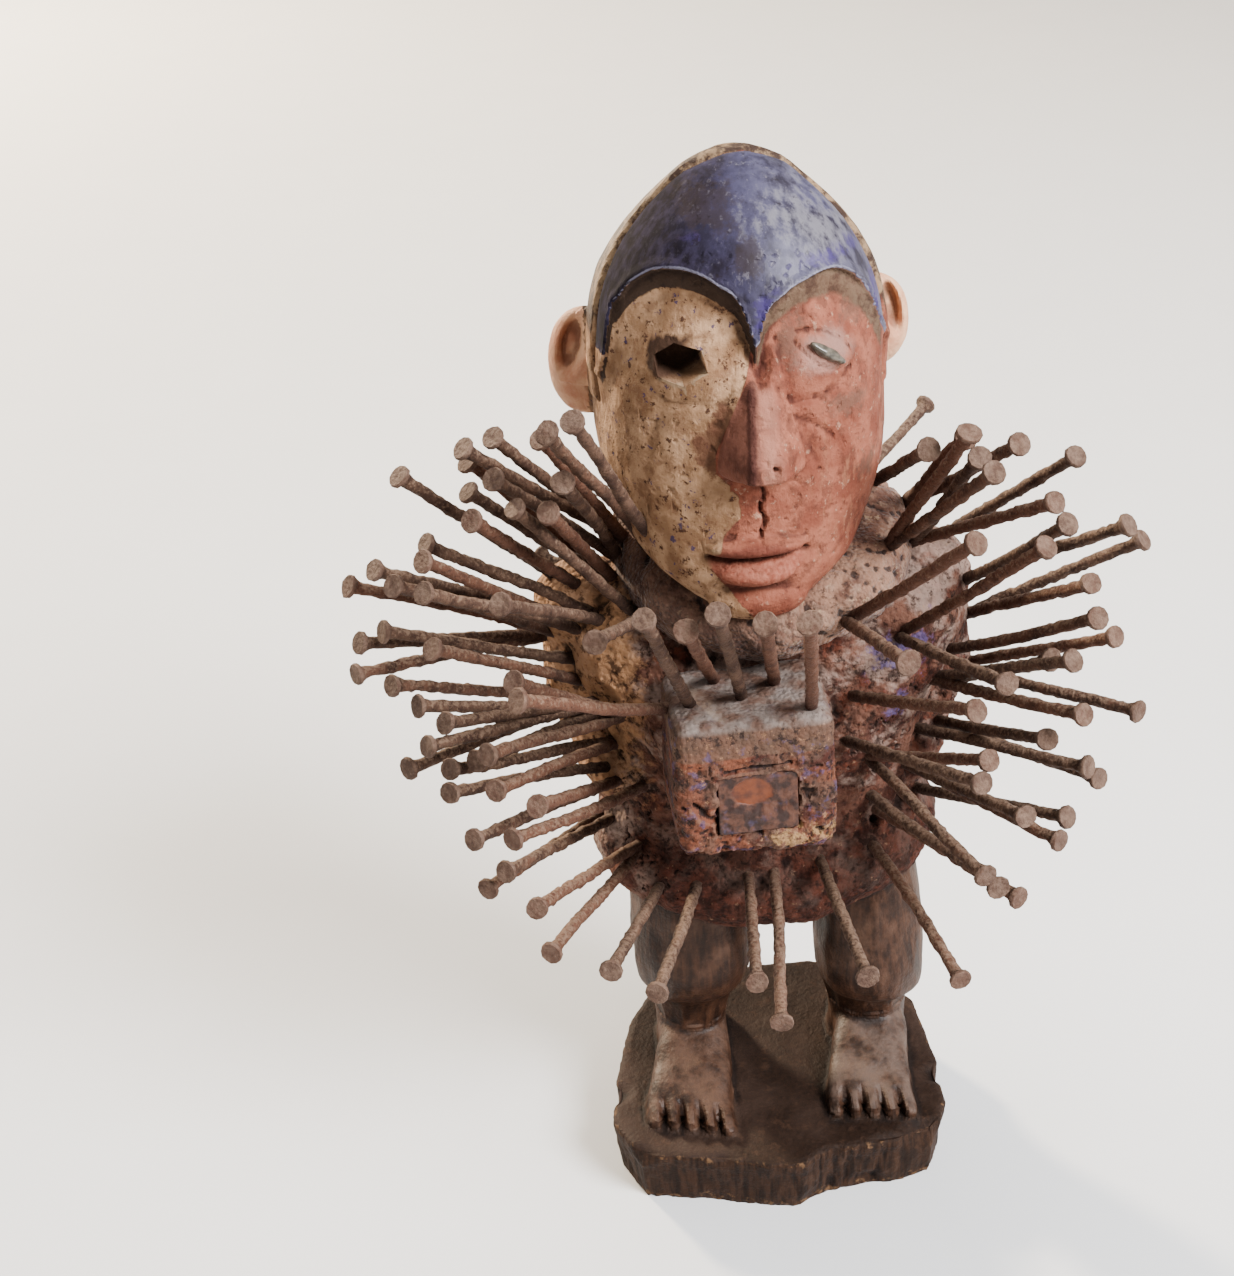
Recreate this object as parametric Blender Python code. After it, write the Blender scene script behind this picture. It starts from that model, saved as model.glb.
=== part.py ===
# Standing power figure of carved wood, 30 cm tall, studded with iron nails
#
# The wooden figure is one solid: base, feet, legs, trunk, arms, neck, head and ears.
# A block holds the charge on the belly, with a pane of amber resin in its window.
# A thick roll of cloth stiffened with paste lies round the neck, and a sliver of glass
# is set in one eye. Nails are driven into the trunk, the roll and the top of the block.
# Units are metres, +Z up, and the figure looks along -Y. Sizes below are in millimetres.

import math
import random

import bmesh
import bpy
import numpy as np
from mathutils import Matrix, Vector, noise
from mathutils.bvhtree import BVHTree

MM = 0.001

# Driving dimensions, in millimetres
BASE_THICKNESS = 19.0
TOUCH_GAP = 0.3
VOXEL = 1.5
FIGURE_TRIANGLES = 2100
WRAP_TRIANGLES = 460

# Outline of the base, seen from above, hewn unevenly as in the photograph
BASE_OUTLINE = [
    (-43, -46), (-25, -49), (-6, -54), (3, -55), (12, -50), (33, -48), (44, -45), (49, -34),
    (50, -15), (48, 12), (38, 27), (18, 36), (-14, 35), (-34, 28), (-42, 14), (-48, -12), (-50, -32),
]

# Body sections: height, centre x, half width, front y, back y, squareness
HEAD_X = -3.5
HEAD = [
    (190, HEAD_X, 9, -36, -14, 2.0), (194, HEAD_X, 17, -42, 4, 2.0), (200, HEAD_X, 26, -43, 18, 2.1),
    (210, HEAD_X, 32, -42, 26, 2.1), (225, HEAD_X, 36.5, -41, 34, 2.1), (240, HEAD_X, 37.5, -41, 39, 2.1),
    (256, HEAD_X, 37.5, -41, 41, 2.1), (270, HEAD_X, 35, -39, 39, 2.1), (282, HEAD_X, 28, -32, 31, 2.0),
    (291, HEAD_X, 19.5, -22, 22, 2.0), (297, HEAD_X, 11, -11, 13, 2.0), (300, HEAD_X, 3, -2, 5, 2.0),
]
TRUNK = [
    (84, 1, 43, -27, 28, 2.3), (88, 1, 48, -31, 32, 2.3), (98, 1, 50, -32, 35, 2.3),
    (112, 1, 46.5, -29, 34, 2.3), (128, 1, 43.5, -28, 32, 2.3), (145, 2, 47, -28, 32, 2.3),
    (162, 2, 54, -27, 33, 2.4), (175, 2, 55, -25, 32, 2.4), (184, 2, 47, -22, 29, 2.2),
    (191, 0, 31, -20, 25, 2.0), (200, -2, 25, -18, 24, 2.0), (216, -3, 24, -18, 24, 2.0),
]
LEFT_LEG = [
    (16, -23, 11, -12, 16, 2.0), (26, -23.5, 10.5, -11, 15, 2.0), (36, -23, 12, -11, 17, 2.0),
    (46, -22.5, 14.5, -14, 19, 2.1), (53, -22.5, 17, -22, 19, 2.2), (60, -22.5, 18, -25, 18, 2.2),
    (76, -22.5, 18, -23, 20, 2.2), (92, -22, 17, -21, 22, 2.0),
]
RIGHT_LEG = [
    (16, 31, 12, -12, 16, 2.0), (26, 31.3, 12, -11, 15, 2.0), (36, 31, 13, -12, 17, 2.0),
    (43, 31, 14.5, -15, 19, 2.1), (49, 31, 16, -24, 19, 2.2), (58, 30.5, 16.5, -28, 18, 2.2),
    (74, 30.5, 16.5, -26, 20, 2.2), (92, 29, 16, -22, 22, 2.0),
]
# Feet: centre x of the heel and of the toe line, width, y of the inner and outer toes
FEET = [(-23.5, -27, 26, -43, -36), (31.3, 27, 26, -38, -41)]
TOES = 5

# Face, heights in millimetres
BROW_MIDDLE = 264.0
BROW_TOP = 280.0
BROW_END = 255.0
EYE_HEIGHT = 258.0
EYE_SPREAD = 17.0
MOUTH_HEIGHT = 210.0

# Block on the belly
BOX_CENTRE = (-7.6, -41.0, 150.5)
BOX_SIZE = (42.0, 34.0, 40.0)
BOX_TURN = 3.0
WINDOW_SIZE = (21.0, 17.0)
WINDOW_DEPTH = 3.0

# Roll round the neck: centre, half widths, thickness and tilt
WRAP_CENTRE = (1.5, -2.0, 193.0)
WRAP_RADII = (29.0, 27.0)
WRAP_THICKNESS = 23.0
WRAP_TILT = 17.0

# Nails
NAIL_SHANK = 3.3
NAIL_HEAD = 6.4
NAIL_HEAD_THICKNESS = 1.7
NAIL_OUT = 59.0
NAIL_IN = 16.0
NAIL_SIDES = 4
HEAD_SIDES = 6

# Nails one by one, where the photograph shows them singly: bearing of the root round the
# trunk, its height, heading of the shank and its rise, all angles in degrees from the front
CHEST_NAILS = [
    (-69, 186, -42, 45), (-67, 175, -31, 35), (-62, 159, -35, 32), (-32, 168, -43, 28),
    (-51, 174, -18, 30), (-63, 144, -39, 24), (-57, 129, -37, 17), (-63, 110, -26, 17),
    (-55, 107, -27, 9), (40, 130, 22, 6), (34, 144, 26, 17), (36, 158, 24, 23), (19, 179, 13, 23),
    (51, 167, 19, 20), (38, 189, 23, 38), (47, 143, 22, 22), (-88, 186, -57, 45), (72, 150, 28, 18),
]
HEM_NAILS = [(-47, 100, -16, 15), (-34, 101, -15, 8), (-12, 104, -4, 9), (-1, 105, -5, -5),
             (21, 107, 3, 6), (43, 108, 14, -5)]
# Nails on the block: place on its top face, heading and rise
BOX_NAILS = [(-15, -3, -19, 51), (-7, 8, -12, 41), (-1.5, -2, -12, 49), (8, 4, -9, 43), (15, -10, -8, 49)]
# Slanting rows of nails: name, count, and the same four sizes at the row's two ends
NAIL_ROWS = [
    ("neck_left", 4, (-44, 213, -25, 49), (-83, 198, -42, 46)),
    ("shoulder_left_back", 3, (-85, 189, -55, 46), (-90, 195, -42, 43)),
    ("shoulder_left", 4, (-78, 197, -17, 40), (-86, 170, -46, 35)),
    ("arm_left", 4, (-75, 182, -63, 35), (-84, 166, -53, 16)),
    ("side_left", 4, (-85, 165, -65, 20), (-65, 129, -40, 15)),
    ("waist_left", 4, (-79, 148, -51, 13), (-64, 130, -24, 26)),
    ("hip_left", 2, (-76, 150, -59, -1), (-74, 112, -32, 18)),
    ("hip_right", 4, (48, 118, 28, 5), (91, 146, 39, 8)),
    ("side_right", 4, (46, 124, 22, 6), (92, 141, 17, 34)),
    ("arm_right", 4, (92, 144, 35, 31), (78, 200, 13, 38)),
    ("chest_right", 4, (70, 139, 39, 15), (56, 196, 28, 51)),
    ("shoulder_right", 4, (96, 161, 50, 34), (64, 195, 16, 41)),
    ("shoulder_right_back", 4, (91, 188, 33, 40), (92, 209, -3, 34)),
    ("back", 5, (142, 178, 134, 22), (222, 150, 224, 10)),
]
NAIL_PIECES = 55


def clear_scene():
    for thing in list(bpy.data.objects):
        bpy.data.objects.remove(thing, do_unlink=True)


def material(name, colour, roughness, metallic=0.0):
    made = bpy.data.materials.new(name)
    made.use_nodes = True
    surface = made.node_tree.nodes["Principled BSDF"]
    surface.inputs["Base Color"].default_value = (*colour, 1.0)
    surface.inputs["Roughness"].default_value = roughness
    surface.inputs["Metallic"].default_value = metallic
    return made


def place(name, bm, surface=None, smooth=True):
    """One new object from a bmesh, which is freed."""
    bmesh.ops.recalc_face_normals(bm, faces=bm.faces)
    mesh = bpy.data.meshes.new(name)
    bm.to_mesh(mesh)
    bm.free()
    mesh.shade_smooth() if smooth else mesh.shade_flat()
    made = bpy.data.objects.new(name, mesh)
    bpy.context.scene.collection.objects.link(made)
    if surface:
        mesh.materials.append(surface)
    return made


def settle(thing):
    """Replace an object's mesh by what its modifiers make of it."""
    bpy.context.view_layer.update()
    evaluated = thing.evaluated_get(bpy.context.evaluated_depsgraph_get())
    mesh = bpy.data.meshes.new_from_object(evaluated)
    thing.modifiers.clear()
    thing.data = mesh


def boolean(target, operation, tool, solver="EXACT"):
    step = target.modifiers.new(operation.lower(), "BOOLEAN")
    step.operation = operation
    step.object = tool
    step.solver = solver
    settle(target)
    bpy.data.objects.remove(tool, do_unlink=True)


def point(x, y, z):
    return Vector((x, y, z)) * MM


# Building blocks

def spline(stations, step):
    """Stations at an even spacing in height, on a smooth curve through the given ones."""
    rows = np.array(stations, float)
    slopes = np.gradient(rows[:, 1:], rows[:, 0], axis=0)
    heights = np.linspace(rows[0, 0], rows[-1, 0], max(2, round((rows[-1, 0] - rows[0, 0]) / step) + 1))
    made = []
    for height in heights:
        i = min(np.searchsorted(rows[:, 0], height, side="right") - 1, len(rows) - 2)
        span = rows[i + 1, 0] - rows[i, 0]
        t = (height - rows[i, 0]) / span
        start, end = rows[i, 1:], rows[i + 1, 1:]
        a, b = slopes[i] * span, slopes[i + 1] * span
        value = (2 * t**3 - 3 * t**2 + 1) * start + (t**3 - 2 * t**2 + t) * a
        value = value + (3 * t**2 - 2 * t**3) * end + (t**3 - t**2) * b
        made.append((height, *value))
    return made


def section(station, count):
    """A rounded ring: half width, and its own depth in front and behind."""
    height, centre, half, front, back, square = station
    middle = (front + back) / 2
    depth = (back - front) / 2
    ring = []
    for i in range(count):
        angle = 2 * math.pi * i / count
        c, s = math.cos(angle), math.sin(angle)
        x = math.copysign(abs(c) ** (2 / square), c) * max(half, 0.5)
        y = math.copysign(abs(s) ** (2 / square), s) * max(depth, 0.5)
        ring.append(point(centre + x, middle + y, height))
    return ring


def skin(bm, rings):
    """A closed tube through rings of equal count, capped at both ends."""
    loops = [[bm.verts.new(p) for p in ring] for ring in rings]
    count = len(loops[0])
    for low, high in zip(loops, loops[1:]):
        for i in range(count):
            j = (i + 1) % count
            bm.faces.new((low[i], low[j], high[j], high[i]))
    bm.faces.new(loops[0][::-1])
    bm.faces.new(loops[-1])


def body(bm, stations, count=40, step=2.5):
    skin(bm, [section(s, count) for s in spline(stations, step)])


def ball(bm, centre, radii, turn=(0, 0, 0)):
    """An ellipsoid, turned by three angles in degrees."""
    made = bmesh.ops.create_icosphere(bm, subdivisions=3, radius=1.0)["verts"]
    spin = Matrix.Rotation(math.radians(turn[2]), 4, "Z") @ Matrix.Rotation(math.radians(turn[1]), 4, "Y")
    spin = spin @ Matrix.Rotation(math.radians(turn[0]), 4, "X")
    move = Matrix.Translation(point(*centre)) @ spin @ Matrix.Diagonal((*[r * MM for r in radii], 1))
    bmesh.ops.transform(bm, matrix=move, verts=made)


def limb(bm, start, end, start_radius, end_radius, count=20):
    """A tapering round bar between two points, with rounded ends."""
    a, b = Vector(start), Vector(end)
    turn = (b - a).to_track_quat("Z", "X").to_matrix()
    length = (b - a).length
    rings = []
    for i in range(13):
        t = i / 12
        bulge = math.sqrt(max(1 - (2 * t - 1) ** 6, 0.02))
        radius = (start_radius + (end_radius - start_radius) * t) * bulge
        ring = []
        for k in range(count):
            angle = 2 * math.pi * k / count
            side = Vector((math.cos(angle) * radius, math.sin(angle) * radius, length * t))
            ring.append((a + turn @ side) * MM)
        rings.append(ring)
    skin(bm, rings)


# Parts of the figure that are merged into one carved solid

def add_arms(bm):
    for side, reach in ((-1, 58), (1, 60)):
        limb(bm, (side * 44, 4, 186), (side * (reach - 8), 9, 140), 12.5, 11)
        limb(bm, (side * (reach - 9), 10, 144), (side * 38, -14, 122), 10.5, 8)
        ball(bm, (side * 47, 4, 176), (13, 15, 13))


def add_feet(bm):
    for heel_x, toe_x, width, inner_y, outer_y in FEET:
        side = math.copysign(1, toe_x)
        left_y, right_y = (outer_y, inner_y) if side < 0 else (inner_y, outer_y)
        rings = []
        for y, x, half, top in ((18, heel_x, 8, 29), (8, heel_x, 11, 33), (-8, heel_x, 11.5, 33),
                                (-20, (heel_x + toe_x) / 2, 12.5, 28), (-32, toe_x, 12.8, 24.5)):
            ring = []
            for k in range(16):
                angle = 2 * math.pi * k / 16
                height = (top - 15) / 2
                ring.append(point(x + half * math.copysign(abs(math.cos(angle)) ** 0.7, math.cos(angle)), y,
                                  15 + height + height * math.copysign(abs(math.sin(angle)) ** 0.8,
                                                                       math.sin(angle))))
            rings.append(ring)
        skin(bm, rings)
        for k in range(TOES):
            t = k / (TOES - 1)
            x = toe_x - width / 2 + 2.6 + (width - 5.2) * t
            tip = left_y + (right_y - left_y) * t
            big = 1.25 if (k == TOES - 1) == (side < 0) and k in (0, TOES - 1) else 1.0
            ball(bm, (x, tip + 8.5, 19.6), (2.75 * big, 9.5, 4.4))


def add_ears(bm):
    """Each ear is a disc turned forward, and its hollow is pressed in afterwards."""
    ball(bm, (HEAD_X - 38.5, 8, 244.5), (10.5, 6.0, 15.0), (0, 8, -28))
    ball(bm, (HEAD_X + 38.0, 9, 249.5), (9.0, 5.5, 12.5), (0, -8, 28))


def add_nose(bm):
    """A long wedge with a flat ridge and a straight base."""
    rings = []
    for z, ridge, foot, front in ((262, 2.4, 4.0, -41), (252, 2.6, 6.0, -43.5), (243, 3.0, 8.0, -48.5),
                                  (237, 3.8, 10.0, -53), (232.5, 4.2, 10.6, -52), (230.5, 3.6, 9.5, -48)):
        x = HEAD_X + 1.5
        rings.append([point(x - foot, -34, z), point(x + foot, -34, z), point(x + foot, -41.5, z),
                      point(x + ridge, front, z), point(x - ridge, front, z), point(x - foot, -41.5, z)])
    skin(bm, rings)


def add_mouth(bm):
    """Two full lips that meet in a straight line."""
    x = HEAD_X - 0.5
    ball(bm, (x, -40.5, MOUTH_HEIGHT + 2.4), (12.5, 5.5, 2.9), (-12, 0, 0))
    ball(bm, (x, -40.0, MOUTH_HEIGHT - 3.4), (11.0, 6.5, 3.8), (10, 0, 0))
    ball(bm, (x + 0.5, -37, 198), (14, 7.5, 7))


def smooth_between(value, low, high):
    t = np.clip((value - low) / (high - low), 0, 1)
    return t * t * (3 - 2 * t)


def carve_face(places):
    """Press the sockets in under the brows, and the hollows of the ears."""
    x, y, z = places[:, 0] - HEAD_X, places[:, 1], places[:, 2]
    spread = np.abs(x)
    rise = BROW_MIDDLE + (BROW_TOP - BROW_MIDDLE) * np.sin(np.clip(spread / 15.5, 0, 1) * math.pi / 2) ** 0.75
    fall = BROW_TOP - (BROW_TOP - BROW_END) * np.clip((spread - 15.5) / 20, 0, 1.3) ** 1.7
    brow = np.where(spread < 15.5, rise, fall)
    below = brow - z
    front = smooth_between(-y, 4, 14) * (z > 225)
    socket = smooth_between(below, -0.6, 3.0) * np.exp(-np.clip(below - 4, 0, None) ** 2 / (2 * 11.0**2))
    nose = 1 - smooth_between(9 - spread, 0, 6) * smooth_between(-y, 42, 44)
    ridge = np.exp(-((below + 2.2) / 1.8) ** 2)
    eye = np.exp(-((spread - EYE_SPREAD) / 9) ** 2 - ((z - EYE_HEIGHT) / 4.5) ** 2)
    depth = front * (4.2 * socket * nose - 1.1 * ridge - 1.9 * eye)
    out = np.stack([x, y + 2, np.zeros_like(x)], axis=1)
    out /= np.maximum(np.linalg.norm(out, axis=1, keepdims=True), 1e-6)
    ears = np.zeros_like(x)
    for centre, tall in ((-41.0, 9.5), (41.0, 8.0)):
        level = 245.0 if centre < 0 else 250.0
        away = ((x - centre) / 5.0) ** 2 + ((z - level) / tall) ** 2
        ears += 4.0 * np.exp(-away**2) * (y < 7)
    return places - out * depth[:, None] + np.stack([0 * x, ears, 0 * x], axis=1)


def crust(places, normals, size, height):
    """Uneven lumps of crust on the trunk, between the hem and the neck."""
    zone = smooth_between(places[:, 2], 82, 90) * (1 - smooth_between(places[:, 2], 184, 196))
    lump = np.array([noise.noise(Vector(p) / size) for p in places])
    return places + normals * (lump * zone * height)[:, None]


def vertices(mesh):
    count = len(mesh.vertices)
    places = np.empty(count * 3)
    mesh.vertices.foreach_get("co", places)
    normals = np.empty(count * 3)
    mesh.vertices.foreach_get("normal", normals)
    return places.reshape(-1, 3) / MM, normals.reshape(-1, 3)


def decimate(thing, triangles):
    now = sum(len(p.vertices) - 2 for p in thing.data.polygons)
    step = thing.modifiers.new("decimate", "DECIMATE")
    step.ratio = min(1.0, triangles / now)
    settle(thing)


def carved_body():
    bm = bmesh.new()
    body(bm, HEAD)
    body(bm, TRUNK)
    body(bm, LEFT_LEG)
    body(bm, RIGHT_LEG)
    ball(bm, (-6, -20, 149), (27, 15, 25))
    add_arms(bm)
    add_feet(bm)
    add_ears(bm)
    add_nose(bm)
    add_mouth(bm)
    made = place("figure", bm)
    step = made.modifiers.new("merge", "REMESH")
    step.mode = "VOXEL"
    step.voxel_size = VOXEL * MM
    settle(made)
    places, normals = vertices(made.data)
    places = carve_face(places)
    places = crust(places, normals, 14.0, 1.6)
    made.data.vertices.foreach_set("co", (places * MM).ravel())
    made.data.update()
    decimate(made, FIGURE_TRIANGLES)
    return made


def base_slab():
    """The hewn base: a flat underside, and an upper edge a little wider than the lower one."""
    bm = bmesh.new()
    low = [bm.verts.new(point(x * 0.97, y * 0.965, 0)) for x, y in BASE_OUTLINE]
    high = [bm.verts.new(point(x, y, BASE_THICKNESS)) for x, y in BASE_OUTLINE]
    count = len(low)
    for i in range(count):
        j = (i + 1) % count
        bm.faces.new((low[i], low[j], high[j], high[i]))
    bm.faces.new(low[::-1])
    top = bm.faces.new(high)
    bmesh.ops.bevel(bm, geom=list(top.edges), offset=1.6 * MM, segments=1, profile=0.5,
                    affect="EDGES", material=-1)
    return place("base_slab", bm, smooth=False)


def eye_hollow():
    """The empty socket: an uneven six-sided hole."""
    bm = bmesh.new()
    bmesh.ops.create_cone(bm, cap_ends=True, segments=6, radius1=6.6 * MM, radius2=5.2 * MM, depth=14 * MM)
    turn = Matrix.Rotation(math.radians(-90), 4, "X")
    turn = Matrix.Rotation(math.radians(-10), 4, "Y") @ Matrix.Diagonal((1, 1, 0.72, 1)) @ turn
    bmesh.ops.transform(bm, matrix=Matrix.Translation(point(HEAD_X - EYE_SPREAD, -34, EYE_HEIGHT)) @ turn,
                        verts=bm.verts)
    return place("eye_hollow", bm, smooth=False)


def eye_sliver(grow, name, surface=None):
    """The glass left in the other socket, thin and slanting down to the outside."""
    bm = bmesh.new()
    bmesh.ops.create_uvsphere(bm, u_segments=10, v_segments=5, radius=1.0)
    size = Matrix.Diagonal(((5.4 + grow) * MM, (2.4 + grow) * MM, (2.1 + grow) * MM, 1))
    turn = Matrix.Rotation(math.radians(14), 4, "Z") @ Matrix.Rotation(math.radians(24), 4, "Y")
    spot = Matrix.Translation(point(HEAD_X + EYE_SPREAD - 0.4, -36.4, EYE_HEIGHT))
    bmesh.ops.transform(bm, matrix=spot @ turn @ size, verts=bm.verts)
    return place(name, bm, surface)


# Block, pane and roll

def block(name, size, centre, edge, surface=None):
    bm = bmesh.new()
    bmesh.ops.create_cube(bm, size=1.0)
    bmesh.ops.scale(bm, vec=Vector(size) * MM, verts=bm.verts)
    if edge:
        bmesh.ops.bevel(bm, geom=list(bm.edges), offset=edge * MM, segments=2, profile=0.5,
                        affect="EDGES", material=-1)
    turn = Matrix.Translation(point(*BOX_CENTRE)) @ Matrix.Rotation(math.radians(BOX_TURN), 4, "Z")
    bmesh.ops.transform(bm, matrix=turn @ Matrix.Translation(Vector(centre) * MM), verts=bm.verts)
    return place(name, bm, surface, smooth=False)


def belly_box(surface):
    width, depth, height = BOX_SIZE
    made = block("belly_box", BOX_SIZE, (0, 0, 0), 3.0, surface)
    window = (WINDOW_SIZE[0], 2 * WINDOW_DEPTH, WINDOW_SIZE[1])
    boolean(made, "DIFFERENCE", block("window_cut", window, (0, -depth / 2, -3.5), 0))
    return made


def belly_window(surface):
    width, height = (side - 2 * TOUCH_GAP for side in WINDOW_SIZE)
    thick = WINDOW_DEPTH - 1.0
    y = -BOX_SIZE[1] / 2 + WINDOW_DEPTH - TOUCH_GAP - thick / 2
    return block("belly_window", (width, thick, height), (0, y, -3.5), 0, surface)


def neck_roll(surface):
    """A lumpy ring, thicker at the sides, lying lower in front than behind."""
    bm = bmesh.new()
    around, across = 48, 20
    tilt = Matrix.Rotation(math.radians(WRAP_TILT), 3, "X")
    loops = []
    for i in range(around):
        angle = 2 * math.pi * i / around
        out = Vector((math.cos(angle), math.sin(angle), 0))
        middle = Vector((out.x * WRAP_RADII[0], out.y * WRAP_RADII[1], 0))
        radius = WRAP_THICKNESS / 2 * (1 + 0.06 * math.sin(3 * angle + 1) + 0.05 * math.sin(7 * angle))
        loop = []
        for k in range(across):
            turn = 2 * math.pi * k / across
            side = middle + out * math.cos(turn) * radius + Vector((0, 0, math.sin(turn) * radius * 0.95))
            loop.append(bm.verts.new((tilt @ side + Vector(WRAP_CENTRE)) * MM))
        loops.append(loop)
    for i in range(around):
        here, there = loops[i], loops[(i + 1) % around]
        for k in range(across):
            m = (k + 1) % across
            bm.faces.new((here[k], there[k], there[m], here[m]))
    made = place("neck_wrap", bm, surface)
    decimate(made, WRAP_TRIANGLES)
    return made


def swollen(thing, amount):
    """A copy grown outward, to cut a neighbour with a gap."""
    copy = thing.copy()
    copy.data = thing.data.copy()
    bpy.context.scene.collection.objects.link(copy)
    places, normals = vertices(copy.data)
    copy.data.vertices.foreach_set("co", ((places + normals * amount) * MM).ravel())
    copy.data.update()
    return copy


# Nails

class Nail:
    """A straight nail: the point where it enters, the way its head points, its length outside
    the wood, and the turn of its shank about its own axis."""

    def __init__(self, root, heading, out=NAIL_OUT):
        self.root = Vector(root)
        self.heading = Vector(heading).normalized()
        self.out = out
        self.roll = 45.0

    @property
    def tip(self):
        return self.root - self.heading * NAIL_IN

    @property
    def head(self):
        return self.root + self.heading * self.out


def direction(heading, rise):
    """Unit vector from a heading, in degrees from the front towards +X, and a rise."""
    h, r = math.radians(heading), math.radians(rise)
    return Vector((math.sin(h) * math.cos(r), -math.cos(h) * math.cos(r), math.sin(r)))


def nail_rings(nail, grow):
    """Rings from the shank's start to the head, as (place along the nail, radius, sides)."""
    full = NAIL_IN + nail.out
    shank, head = NAIL_SHANK / 2 + grow, NAIL_HEAD / 2 + grow
    return [(4.0, shank, NAIL_SIDES), (full - NAIL_HEAD_THICKNESS - 1.6, shank, NAIL_SIDES),
            (full - NAIL_HEAD_THICKNESS, head, HEAD_SIDES), (full, head * 0.96, HEAD_SIDES)]


def nail_mesh(bm, nail, grow=0.0):
    """One nail from its point to its head; rings of unlike count are joined by triangles."""
    turn = nail.heading.to_track_quat("Z", "X").to_matrix()
    loops = []
    for along_it, radius, sides in nail_rings(nail, grow):
        loop = []
        for k in range(sides):
            angle = math.radians(nail.roll + 360 * k / sides)
            side = Vector((math.cos(angle) * radius, math.sin(angle) * radius, along_it))
            loop.append(bm.verts.new((nail.tip + turn @ side) * MM))
        loops.append(loop)
    for low, high in zip(loops, loops[1:]):
        edges = []
        for loop in (low, high):
            for k in range(len(loop)):
                pair = (loop[k], loop[(k + 1) % len(loop)])
                edges.append(bm.edges.get(pair) or bm.edges.new(pair))
        bmesh.ops.bridge_loops(bm, edges=edges)
    tip = bm.verts.new((nail.tip - nail.heading * grow) * MM)
    for k in range(NAIL_SIDES):
        bm.faces.new((loops[0][(k + 1) % NAIL_SIDES], loops[0][k], tip))
    bm.faces.new(loops[-1])


def along(nail):
    """Sample places and radii along a nail, for clearance tests."""
    full = NAIL_IN + nail.out
    samples = [(nail.tip + nail.heading * s, NAIL_SHANK / 2) for s in np.arange(1, full - 3, 2.0)]
    samples += [(nail.tip + nail.heading * (full - s), NAIL_HEAD / 2) for s in (1.6, 0.2)]
    return samples


def closest(a, b):
    """Smallest clear distance between two nails."""
    places_a, places_b = along(a), along(b)
    pa = np.array([p for p, r in places_a])
    pb = np.array([p for p, r in places_b])
    ra = np.array([r for p, r in places_a])
    rb = np.array([r for p, r in places_b])
    gap = np.linalg.norm(pa[:, None] - pb[None, :], axis=2) - ra[:, None] - rb[None, :]
    return gap.min()


class Wood:
    """Surfaces that nails enter, for finding roots and keeping shanks clear of them."""

    def __init__(self, things):
        self.trees = []
        for thing in things:
            bm = bmesh.new()
            bm.from_mesh(thing.data)
            self.trees.append(BVHTree.FromBMesh(bm))
            bm.free()

    def entry(self, start, heading):
        """Where a line first meets the surface, coming from outside."""
        found = None
        for tree in self.trees:
            hit = tree.ray_cast(Vector(start) * MM, Vector(heading))[0]
            if hit and (found is None or (hit - start * MM).length < (found - start * MM).length):
                found = hit
        return found / MM if found else None

    def clear(self, nail):
        """Whether the shank stays out of every surface after its entry."""
        for place_on, radius in along(nail):
            outside = (place_on - nail.root).dot(nail.heading)
            if outside < 9:
                continue
            for tree in self.trees:
                nearest = tree.find_nearest(place_on * MM)[0] / MM
                if (nearest - place_on).length < radius + TOUCH_GAP:
                    return False
        return True


def trunk_root(wood, bearing, height):
    """The spot on the trunk's skin at a bearing from the front, and a height."""
    out = direction(bearing, 0)
    axis = Vector((0, 4, height))
    return wood.entry(axis + out * 140, -out)


def wanted_nails(wood):
    """Every nail where the photograph shows it, as (name, free to cross a neighbour, nail)."""
    made = []

    def add(name, free, sizes):
        bearing, height, heading, rise = sizes
        made.append((name, free, Nail(trunk_root(wood, bearing, height), direction(heading, rise))))

    turn = Matrix.Rotation(math.radians(BOX_TURN), 3, "Z")
    for x, y, heading, rise in BOX_NAILS:
        root = turn @ Vector((x, y, BOX_SIZE[2] / 2)) + Vector(BOX_CENTRE)
        made.append(("box_top", False, Nail(root, direction(heading, rise))))
    for sizes in HEM_NAILS:
        add("hem", False, sizes)
    for sizes in CHEST_NAILS:
        add("chest", True, sizes)
    for name, count, start, end in NAIL_ROWS:
        for i in range(count):
            t = i / (count - 1)
            add(name, True, [a + (b - a) * t for a, b in zip(start, end)])
    return made


def crossing_pairs(wanted):
    """Pair off the nails with the nearest roots, until few enough pieces are left."""
    free = [i for i, (_, crossing, _) in enumerate(wanted) if crossing]
    gaps = sorted(((wanted[i][2].root - wanted[j][2].root).length, i, j)
                  for i in free for j in free if i < j)
    partner = {}
    for _, i, j in gaps:
        if len(partner) // 2 >= len(wanted) - NAIL_PIECES:
            break
        if i in partner or j in partner:
            continue
        if wanted[i][2].heading.angle(wanted[j][2].heading) < math.radians(8):
            continue
        partner[i], partner[j] = j, i
    for i, j in partner.items():
        if i < j:
            one, other = wanted[i][2], wanted[j][2]
            middle = (one.root + other.root) / 2 - (one.heading + other.heading) * 1.5
            heads = one.head, other.head
            for nail, head in zip((one, other), heads):
                nail.root, nail.heading = middle, (head - middle).normalized()
    return partner


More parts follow.
